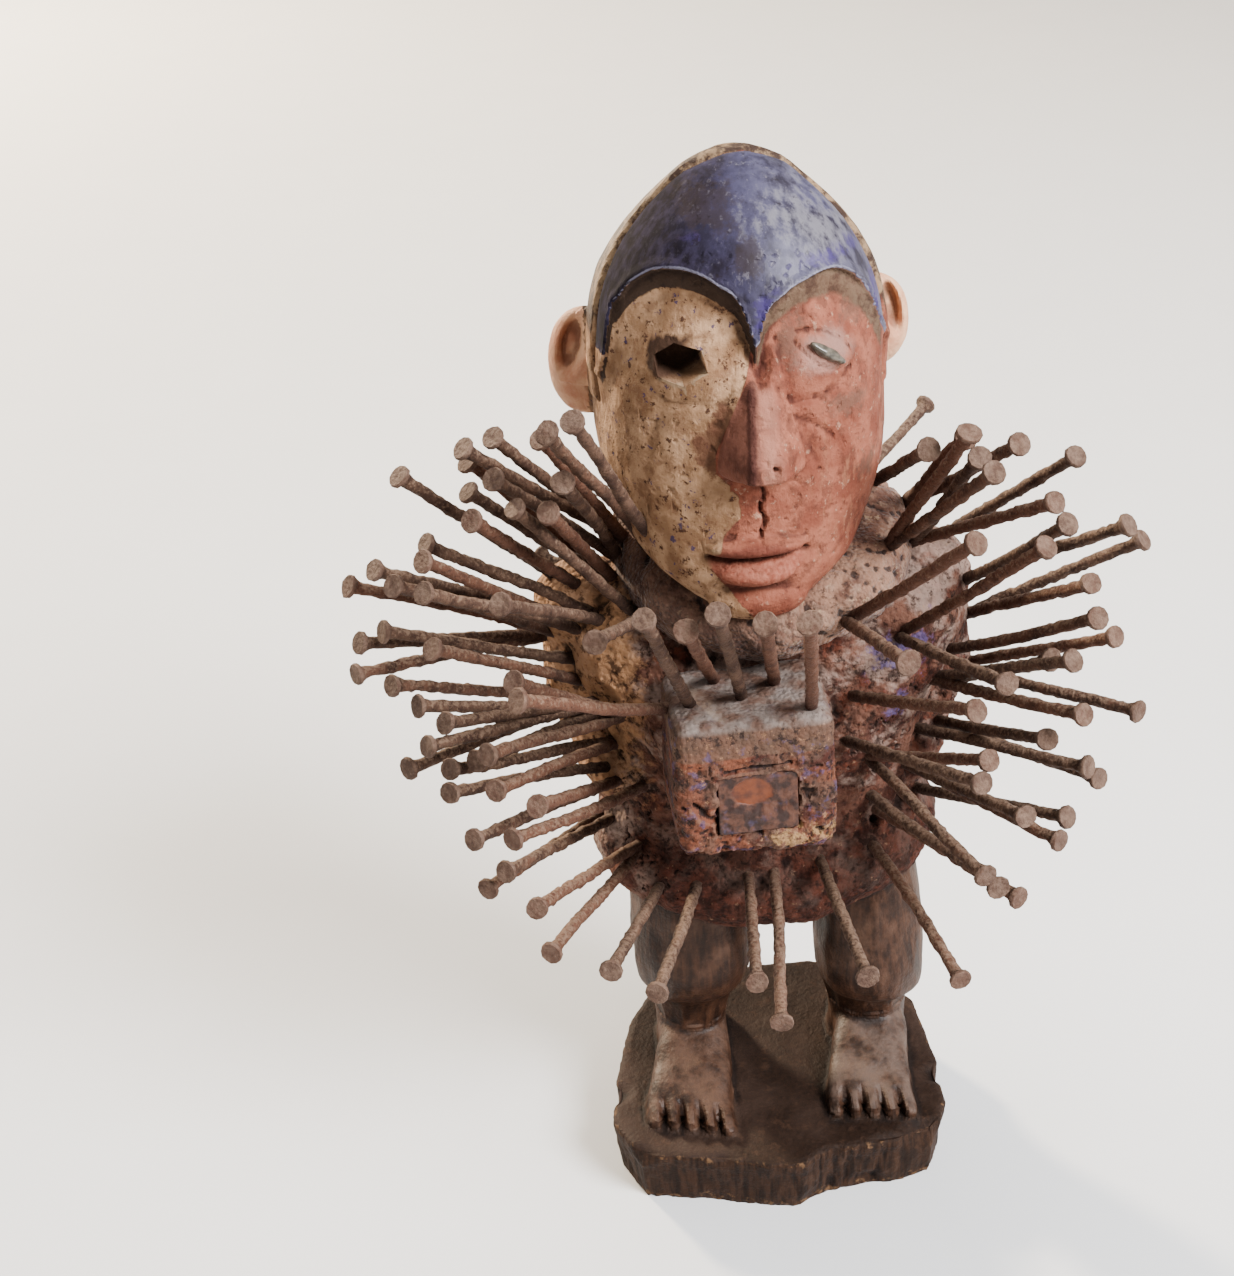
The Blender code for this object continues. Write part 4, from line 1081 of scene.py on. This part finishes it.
    rough = 0.44 + fine * 0.2 + crust * 0.36 + mask("forehead") * 0.22
    for name, more in (("white", 0.3), ("red", 0.25), ("slab", 0.14), ("sheen", -0.26),
                       ("shade", 0.4)):
        rough = rough + mask(name) * more
    height = fine * 0.5 + along * 0.3 + (1 - made.cells(1.5)) * crust * 1.1
    height = height + speck * (crust * 1.2 + 0.5) + blotch * (mask("red") + mask("white")) * 0.8
    height = height * (1 - mask("forehead") * 0.75)
    connect(made.tree, mask("sheen") * 0.3 + mask("oiled") * 0.1, made.shader.inputs["Coat Weight"])
    return made.finish(colour, rough, height, 0.7)


figure.data.materials.clear()
figure.data.materials.append(carved_wood())
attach(figure, "root")
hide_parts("figure")
print("figure", [round(v / MM, 1) for v in figure.dimensions])

# %% [markdown]
# ## The block on the belly
#
# The block is a lump of clay and resin round a box that holds the charge. It is squarish with
# worn edges, whitish on top and red-brown in front. A frame of cracked crust stands round the
# window. The block is built in its own frame, turned three degrees, and then put in place.

# %% Block
BOX_CENTRE, BOX_SIZE, BOX_TURN = (-7.6, -41.0, 150.5), (42.0, 34.0, 40.0), 3.0
WINDOW_SIZE, WINDOW_DEPTH, WINDOW_LIFT = (21.0, 17.0), 3.0, -3.5
BLOCK_TRIANGLES = 60000
turn = Matrix.Rotation(math.radians(BOX_TURN), 4, "Z")
in_place = np.array(Matrix.Translation(BOX_CENTRE) @ turn)


def put(thing):
    """From the block's own frame to the figure's."""
    places, _ = read(thing.data)
    write(thing.data, places @ in_place[:3, :3].T + in_place[:3, 3])


bm = bmesh.new()
bmesh.ops.create_cube(bm, size=1.0)
bmesh.ops.scale(bm, vec=Vector(BOX_SIZE) * MM, verts=bm.verts)
bmesh.ops.bevel(bm, geom=list(bm.edges), offset=4.0 * MM, segments=3, profile=0.5,
                affect="EDGES", material=-1)
block = show("belly_block", bm)
apply(block, "REMESH", mode="VOXEL", voxel_size=0.55 * MM)
places, normals = read(block.data)
x, y, z = places.T
lift = z - WINDOW_LIFT
inside = np.maximum(np.abs(x) / (WINDOW_SIZE[0] / 2), np.abs(lift) / (WINDOW_SIZE[1] / 2))
ragged = inside + lumps(places, 4.0, 1, 3) * np.where(lift < 2, 0.16, 0.09)
front = (y < -BOX_SIZE[1] / 2 + 4) * 1.0
rough = rise(11 - z, -3, 4) * front
out = lumps(places, 16.0, 2, 3) * 0.8 - 0.5
out += lumps(places, 3.0, 3, 4) * (0.2 + 0.6 * rough)
cracks = 1 - rise(np.abs(lumps(places, 12.0, 4, 3)), 0.0, 0.03)
out -= cracks * 0.7 * rough * rise(lumps(places, 9.0, 8, 2), 0.0, 0.2)
out -= 1.2 * rough * rise(lumps(places, 6.0, 9, 3), 0.25, 0.5) * (z < 0)
for hole in roots:
    local = np.linalg.inv(in_place) @ np.array((*hole, 1.0))
    if abs(local[0]) < 22 and abs(local[1]) < 18 and local[2] > 18:
        away = np.linalg.norm(places - local[:3], axis=1)
        out -= 2.2 * (1 - rise(away, 1.6, 3.2))
pit = np.hypot((x - 6.5 - lumps(places, 3.0, 14, 2) * 2) / 4.2, (z + 5.5) / 3.4)
out -= front * 2.4 * (1 - rise(pit, 0.4, 1.1)) * (0.6 + 0.8 * lumps(places, 2.2, 15, 2))
scar = z + 8.5 + 0.55 * (x + 7) + lumps(places, 5.0, 16, 2) * 2.0
out -= front * 1.6 * bell(scar, 1.0) * (x > -17) * (x < 1)
recess = front * (1 - rise(ragged, 0.89, 1.0)) * (WINDOW_DEPTH + 0.4)
recess += front * 0.8 * (np.abs(lift - 10.6 - 0.06 * x) < 0.45) * (x > -9) * (x < 9)
places = places + normals * out[:, None] * 0.9
places[:, 1] += recess
write(block.data, places)
decimate(block, BLOCK_TRIANGLES)
x, y, z = read(block.data)[0].T
front = y < -10
paint(block.data, "worn", relief(block.data) * 5.0)
paint(block.data, "top", rise(z, 15, 19.5))
paint(block.data, "band", rise(z, 9, 12) * (1 - rise(z, 17, 20)))
paint(block.data, "crumbs", bell(z + 15, 5) * rise(x, -8, 8) * front)
paint(block.data, "orange", bell(x + 17, 5) * bell(z + 4, 12) * front)
put(block)
print(len(block.data.polygons), "faces on the block")


# %% Material of the block
def crusted():
    made = Surface("crusted block")
    blend, coats, ragged = made.blend, made.coats, made.ragged
    noise_at, mask = made.noise, made.mask
    fine, middle = noise_at(1.0, 5), noise_at(6, 5, shift=3.0)
    grains = noise_at(2.4, 5, 0.7, shift=26.0)
    hollow = ((fine - 0.5) * 0.5 - mask("worn")).step(0.15, 0.8)
    chalk = coats(
        blend(middle.step(0.36, 0.62), (178, 162, 152), (124, 96, 82)),
        (noise_at(1.8, 6, 0.75, shift=14.0).step(0.55, 0.63) * 0.7, (76, 52, 43)))
    clay = coats(
        blend(middle.step(0.4, 0.6), (86, 42, 30), (146, 84, 58)),
        (noise_at(9, 4, shift=16.0).step(0.48, 0.58) * 0.6, (104, 80, 66)),
        (ragged("orange", middle, 1.6, 0.3, 0.7) * 0.6, (146, 80, 54)),
        (ragged("band", middle, 0.8, 0.4, 0.8) * 0.7, (124, 96, 78)),
        (noise_at(3.4, 5, shift=6.0).step(0.56, 0.64) * 0.6, (92, 80, 122)),
        (noise_at(1.8, 6, 0.75, shift=9.0).step(0.58, 0.64) * 0.8, (196, 146, 110)),
        (ragged("crumbs", grains, 3.4, 0.7, 1.1) * 0.85, (206, 160, 108)),
        (noise_at(2.6, 6, 0.75, shift=12.0).step(0.52, 0.6) * 0.85, (40, 23, 18)),
        (ragged("top", middle, 1.2, 0.45, 0.85) * 0.85, chalk),
        (ragged("worn", fine, 0.9, 0.6, 1.2) * 0.35, (170, 130, 108)),
        (hollow * 0.85, (40, 24, 20)))
    height = fine * 0.6 + (1 - made.cells(1.3)) * 0.7 + middle * 0.4
    return made.finish(clay, 0.72 + fine * 0.2, height, 0.6)


block.data.materials.clear()
block.data.materials.append(crusted())
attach(block, "root")
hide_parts("belly_box")
print("block", [round(v / MM, 1) for v in block.dimensions])

# %% [markdown]
# ## The pane in the window
#
# The pane is resin, poured over the charge and since then mostly covered by crust. One orange
# patch is still clear. It is a grid, raised into uneven pours, with walls down to a flat back.

# %% Pane
WINDOW_GAP, PANE_THICKNESS = 0.6, 1.7
bm = bmesh.new()
wide, tall = WINDOW_SIZE[0] - WINDOW_GAP, WINDOW_SIZE[1] - WINDOW_GAP
bmesh.ops.create_grid(bm, x_segments=60, y_segments=48, size=0.5)
bmesh.ops.scale(bm, vec=(wide * MM, tall * MM, 1), verts=bm.verts)
bmesh.ops.rotate(bm, cent=(0, 0, 0), matrix=Matrix.Rotation(math.radians(90), 3, "X"),
                 verts=bm.verts)
surface = bm.faces[:]
back_side = bmesh.ops.extrude_face_region(bm, geom=surface)["geom"]
moved = [v for v in back_side if isinstance(v, bmesh.types.BMVert)]
bmesh.ops.translate(bm, vec=(0, PANE_THICKNESS * MM, 0), verts=moved)
pane = show("belly_pane", bm)
places, _ = read(pane.data)
lower = lumps(places, 5.0, 2, 4) * 0.55 + lumps(places, 1.6, 3, 3) * 0.2
shown = places[:, 1] < 0.1
clear = 1 - rise(np.hypot((places[:, 0] + 1.4) / 6.6, (places[:, 2] - 3.2) / 5.0), 0.45, 1.15)
fill = 0.8 * rise(-places[:, 2] + lumps(places, 6.0, 5, 2) * 3, -1, 3)
places[:, 1] += np.where(shown, -(lower + fill) * (1 - 0.8 * clear) - 0.5 + 0.4 * clear, 0)
paint(pane.data, "clear", clear)
places[:, 1] += -BOX_SIZE[1] / 2 + WINDOW_DEPTH - 1.6
places[:, 2] += WINDOW_LIFT
write(pane.data, places)
put(pane)
resin = Surface("amber resin", {"Coat Weight": 0.15})
window = resin.ragged("clear", resin.noise(2.2, 5), 0.9, 0.35, 0.65)
crumbs = resin.coats(
    resin.blend(resin.noise(3, 5).step(0.4, 0.6), (58, 33, 25), (112, 70, 52)),
    (resin.noise(4, 4, shift=5.0).step(0.58, 0.68) * 0.4, (84, 76, 112)))
amber = resin.blend(resin.noise(3, 3, shift=2.0).step(0.35, 0.65), (92, 42, 20), (140, 68, 28))
pane.data.materials.append(resin.finish(
    resin.blend(window, crumbs, amber), 0.75 - window * 0.35,
    resin.noise(1.2, 4) * (1 - window * 0.7), 0.35))
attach(pane, "root")
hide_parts("belly_window")
print("pane", [round(v / MM, 1) for v in pane.dimensions])

# %% [markdown]
# ## The sliver of glass
#
# The other eye keeps a sliver of its clouded glass. It is a flat lens that slants down to the
# outside, with a chipped edge.

# %% Eye glass
bm = bmesh.new()
bmesh.ops.create_uvsphere(bm, u_segments=48, v_segments=24, radius=MM)
size = Matrix.Diagonal((5.6, 2.3, 1.5, 1))
turn = Matrix.Rotation(math.radians(20), 4, "Z") @ Matrix.Rotation(math.radians(36), 4, "Y")
spot = Matrix.Translation(Vector((HEAD_X + EYE_SPREAD + 1.2, -36.0, EYE_HEIGHT)) * MM)
bmesh.ops.transform(bm, matrix=spot @ turn @ size, verts=bm.verts)
glass = show("eye_glass_sliver", bm)
places, normals = read(glass.data)
write(glass.data, places + normals * (lumps(places, 2.0, 4, 2) * 0.25 - 0.1)[:, None])
clouded = Surface("clouded glass", {"Coat Weight": 0.5, "Coat Roughness": 0.2})
dust = clouded.noise(1.4, 5)
haze = clouded.blend(dust.step(0.4, 0.65), (88, 82, 70), (134, 124, 108))
glass.data.materials.append(clouded.finish(haze, 0.25 + dust * 0.3, dust, 0.05))
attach(glass, "root")
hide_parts("eye_glass")
print("glass", [round(v / MM, 1) for v in glass.dimensions])

# %% [markdown]
# ## The roll round the neck
#
# The roll is cloth wound into a thick ring and soaked with paste and red earth. It is granular,
# with soft folds that run slantwise round it, and it lies lower in front than behind.

# %% Neck roll
WRAP_CENTRE, WRAP_RADII = (1.5, -2.0, 193.0), (29.0, 27.0)
WRAP_THICKNESS, WRAP_TILT = 23.0, 17.0
tilt = Matrix.Rotation(math.radians(WRAP_TILT), 3, "X")
AROUND, ACROSS = 168, 60
bm = bmesh.new()
places = []
for i in range(AROUND):
    angle = math.tau * i / AROUND
    radius = WRAP_THICKNESS / 2 * (1 + 0.06 * math.sin(3 * angle + 1) + 0.05 * math.sin(7 * angle))

    def place(turn, angle=angle, radius=radius):
        outward = Vector((math.cos(angle), math.sin(angle), 0))
        middle = Vector((outward.x * WRAP_RADII[0], outward.y * WRAP_RADII[1], 0))
        side = middle + outward * math.cos(turn) * radius
        side = side + Vector((0, 0, math.sin(turn) * radius * 0.95))
        return (tilt @ side + Vector(WRAP_CENTRE)) * MM
    places.append(place)
loft(bm, ACROSS, places, closed=True)
wrap = show("neck_wrap_cloth", bm)
places, normals = read(wrap.data)
angle = np.arctan2(places[:, 1] + 2, places[:, 0] - 1.5)
slant = np.sin(angle * 11 + places[:, 2] * 0.33 + lumps(places, 18, 1, 2) * 2.2)
creased = rise(lumps(places, 24, 6, 2) + 0.25 * np.cos(angle), -0.15, 0.15)
folds = -2.6 * (1 - rise(np.abs(slant), 0.0, 0.3)) * creased
out = folds + lumps(places, 12, 2, 3) * 1.1 + lumps(places, 3.0, 3, 3) * 0.45 - 0.2
out += heap(places, roots, 3.0) * 0.6
write(wrap.data, places + normals * out[:, None])
apply(wrap, "SUBSURF", levels=1, render_levels=1)
places, normals = read(wrap.data)
write(wrap.data, places + normals * (lumps(places, 1.5, 5, 2) * 0.3)[:, None])
paint(wrap.data, "worn", relief(wrap.data) * 5.0)
paint(wrap.data, "stain", heap(places, roots, 3.0))
# the roll darker on its left: painted shadow of the head, with some grime
paint(wrap.data, "dim", rise(-places[:, 0], -14, 12))


# %% Material of the roll
def stiff_cloth():
    made = Surface("stiffened cloth", {"Sheen Weight": 0.1})
    blend, ragged, noise_at, mask = made.blend, made.ragged, made.noise, made.mask
    fine, middle = noise_at(1.1, 5), noise_at(9, 4, shift=4.0)
    hollow = ((fine - 0.5) * 0.5 - mask("worn")).step(0.15, 0.8)
    cloth = made.coats(
        blend(middle.step(0.4, 0.6), (118, 78, 62), (186, 138, 112)),
        (noise_at(4, 5, shift=7.0).step(0.54, 0.64) * 0.6, (206, 164, 138)),
        (noise_at(2.2, 5, 0.7, shift=11.0).step(0.59, 0.64) * 0.75, (214, 176, 140)),
        (noise_at(1.8, 6, 0.75, shift=15.0).step(0.53, 0.63) * 0.7, (56, 34, 26)),
        (ragged("worn", fine, 0.9, 0.25, 0.8) * 0.3, (160, 128, 110)),
        # painted shadow of the head on the roll's left, with some grime
        (mask("dim") * 0.6, blend(middle, (50, 32, 25), (104, 70, 55))),
        (hollow * 0.85, (40, 26, 23)),
        (ragged("stain", fine, 0.5, 0.4, 0.8) * 0.6, (56, 34, 29)))
    height = fine * 0.5 + (1 - made.cells(1000 / 900)) * 0.8 + middle * 0.4
    return made.finish(cloth, 0.88 + fine * 0.1, height, 0.7)


wrap.data.materials.append(stiff_cloth())
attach(wrap, "root")
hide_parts("neck_wrap")
print("roll", len(wrap.data.polygons), "faces")


# %% [markdown]
# ## Nails
#
# A nail is a profile turned about its axis: a point, a shank, a flare and a flat head. Rust
# swells the shank into scale, the blows bent it a little, and no two heads are alike. Each nail
# is turned once with few sides, then displaced by its own noise, so that none repeats.

# %% One nail
NAIL_SHANK, NAIL_HEAD, NAIL_THICK = 3.2, 6.2, 1.3
SIDES = 12


def nail_profile(length):
    """Radius and place from the point to the head's top, in mm."""
    neck = length - NAIL_THICK - 3.0
    shank, head = NAIL_SHANK / 2, NAIL_HEAD / 2
    rows = [(0.0, 0.0), (0.9, 2.0), (shank, 5.5)]
    rows += [(shank, along) for along in np.linspace(7.5, neck, int((neck - 7.5) / 1.3))]
    rows += [(1.75, neck + 1.2), (2.1, neck + 2.2), (2.75, neck + 2.9), (head, neck + 3.15)]
    rows += [(head + 0.05, length - 0.3), (head - 0.15, length), (1.7, length - 0.05)]
    return rows + [(0.0, length - 0.1)]


def turn_nail(bm, head, axis, length, dice):
    """Spin the profile, roughen it, bend it and lay it along its axis."""
    made = bmesh.new()
    rows = nail_profile(length)
    verts = [made.verts.new((radius, 0, along)) for radius, along in rows]
    edges = [made.edges.new(pair) for pair in zip(verts, verts[1:])]
    bmesh.ops.spin(made, geom=verts + edges, cent=(0, 0, 0), axis=(0, 0, 1), angle=math.tau,
                   steps=SIDES, use_merge=True)
    bmesh.ops.remove_doubles(made, verts=made.verts, dist=1e-4)
    seed = Vector([dice.uniform(-50, 50) for _ in range(3)])
    bend, way, wave = dice.uniform(0.1, 1.3), dice.uniform(0, math.tau), dice.uniform(0.7, 1.6)
    sideways = Vector((math.cos(way), math.sin(way), 0))
    lean = Matrix.Rotation(math.radians(dice.uniform(0, 9)), 3, sideways)
    oval, slip = dice.uniform(0, 0.1), dice.uniform(0, math.tau)
    scale = dice.uniform(0.3, 0.55)
    for vert in made.verts:
        x, y, along = vert.co
        radius, angle = math.hypot(x, y), math.atan2(y, x)
        on_head = along > length - NAIL_THICK - 0.6
        swell = noise.fractal(Vector((x, y, along)) / 2.0 + seed, 1.0, 2.0, 3)
        grow = swell * scale * (0.45 if on_head else 1.0) if radius > 0.5 else 0
        if on_head:
            radius *= 0.97 + oval * math.cos(2 * (angle - slip)) * 0.7
        radius += max(min(grow, 0.35), -0.45)
        spot = vert.co.copy()
        if radius > 1e-3:
            spot = Vector((math.cos(angle) * radius, math.sin(angle) * radius, along))
        if on_head:
            middle = Vector((0, 0, length - NAIL_THICK))
            spot = middle + lean @ (spot - middle)
        t = along / length
        sag = bend * math.sin(math.pi * t) * math.sin(math.pi * t * wave)
        vert.co = spot + sideways * sag
    turn = (-axis).to_track_quat("Z", "X").to_matrix().to_4x4()
    move = Matrix.Translation((head + axis * length) * MM) @ turn @ Matrix.Scale(MM, 4)
    bmesh.ops.transform(made, matrix=move, verts=made.verts)
    tone = made.verts.layers.float.new("tone")
    along_layer = made.verts.layers.float.new("along")
    value = dice.uniform(0, 1)
    for vert in made.verts:
        vert[tone] = value
        vert[along_layer] = (vert.co / MM - head).dot(axis) / length
    mesh = bpy.data.meshes.new("part")
    made.to_mesh(mesh)
    made.free()
    bm.from_mesh(mesh)
    bpy.data.meshes.remove(mesh)


# %% Material of the nails
def rusty_iron():
    made = Surface("rusty iron", {"Metallic": 0.1})
    blend, noise_at, tone, along = made.blend, made.noise, made.mask("tone"), made.mask("along")
    fine, middle = noise_at(0.9, 5, 0.65), noise_at(5, 4, shift=3.0)
    dust, scale = noise_at(1.2, 6, 0.7, shift=6.0), noise_at(0.9, 6, 0.75, shift=9.0)
    top = blend(noise_at(3, 4, shift=12.0).step(0.35, 0.65), (154, 124, 106), (108, 80, 66))
    rust = made.coats(
        blend(middle.step(0.35, 0.65), (82, 55, 42), (122, 90, 71)),
        ((tone + (middle - 0.5) * 0.8).step(0.45, 0.8) * 0.6, (134, 84, 62)),
        ((dust + made.upward() * 0.12).step(0.5, 0.66) * 0.65, (180, 146, 120)),
        (scale.step(0.52, 0.63) * 0.65, (42, 27, 21)),
        ((along - (fine - 0.5) * 0.12).step(0.55, 0.8) * 0.5, (60, 40, 35)),
        ((1 - along.step(0.012, 0.03)) * 0.6, top))
    height = fine * 0.8 + (1 - made.cells(1.1)) * 0.6 - scale * 0.8
    return made.finish(rust, 0.66 + fine * 0.25, height, 0.45)


iron = rusty_iron()

# %% Turn every nail
dice = random.Random(21)
faces = 0
for name, found in nail_nodes.items():
    bm = bmesh.new()
    for head, axis, length in found:
        turn_nail(bm, head, axis, length, dice)
    made = show(name.replace("nail_", "iron_nail_"), bm, iron, crisp=50)
    low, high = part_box(name)
    places, _ = read(made.data)
    write(made.data, np.clip(places, np.array(low) / MM, np.array(high) / MM))
    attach(made, "root")
    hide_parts(name)
    faces += len(made.data.polygons)
print(faces, "faces on the nails")

# %% [markdown]
# ### More nails in the thick of the fan
#
# The solids leave out a few nails where they stand closest together. Each is given by its root
# in the wood, the way it points from above and its rise, and reaches 59 mm out of the wood.

# %% Extra nails
OUT, IN = 59.0, 13.0
EXTRA = [
    ((-44, 6, 188), -47, 47), ((-49, -4, 186), -32, 41), ((-50, -10, 175), -47, 33),
    ((-52, -4, 163), -63, 26), ((-50, -6, 157), -47, 33), ((-58, 3, 150), -49, 25),
    ((-55, 1, 144), -45, 10), ((-44, -14, 133), -48, 20), ((-46, -2, 110), -34, 11),
    ((51, -13, 162), 32, 31), ((43, -12, 117), 32, 19),
]
for number, (root, heading, climb) in enumerate(EXTRA):
    heading, climb = math.radians(heading), math.radians(climb)
    flat = math.cos(climb)
    way = Vector((math.sin(heading) * flat, -math.cos(heading) * flat, math.sin(climb)))
    bm = bmesh.new()
    turn_nail(bm, Vector(root) + way * OUT, -way, OUT + IN, dice)
    made = show(f"iron_nail_extra_{number + 1}", bm, iron, crisp=50)
    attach(made, "root")
print(len(EXTRA), "extra nails")

# %% [markdown]
# ## Sizes
#
# The box round the visual model is printed. The visual model has to stay inside the
# solids' box.

# %% Sizes
low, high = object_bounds()
print("visual box ", [round(v / MM, 1) for v in (*low, *high)])
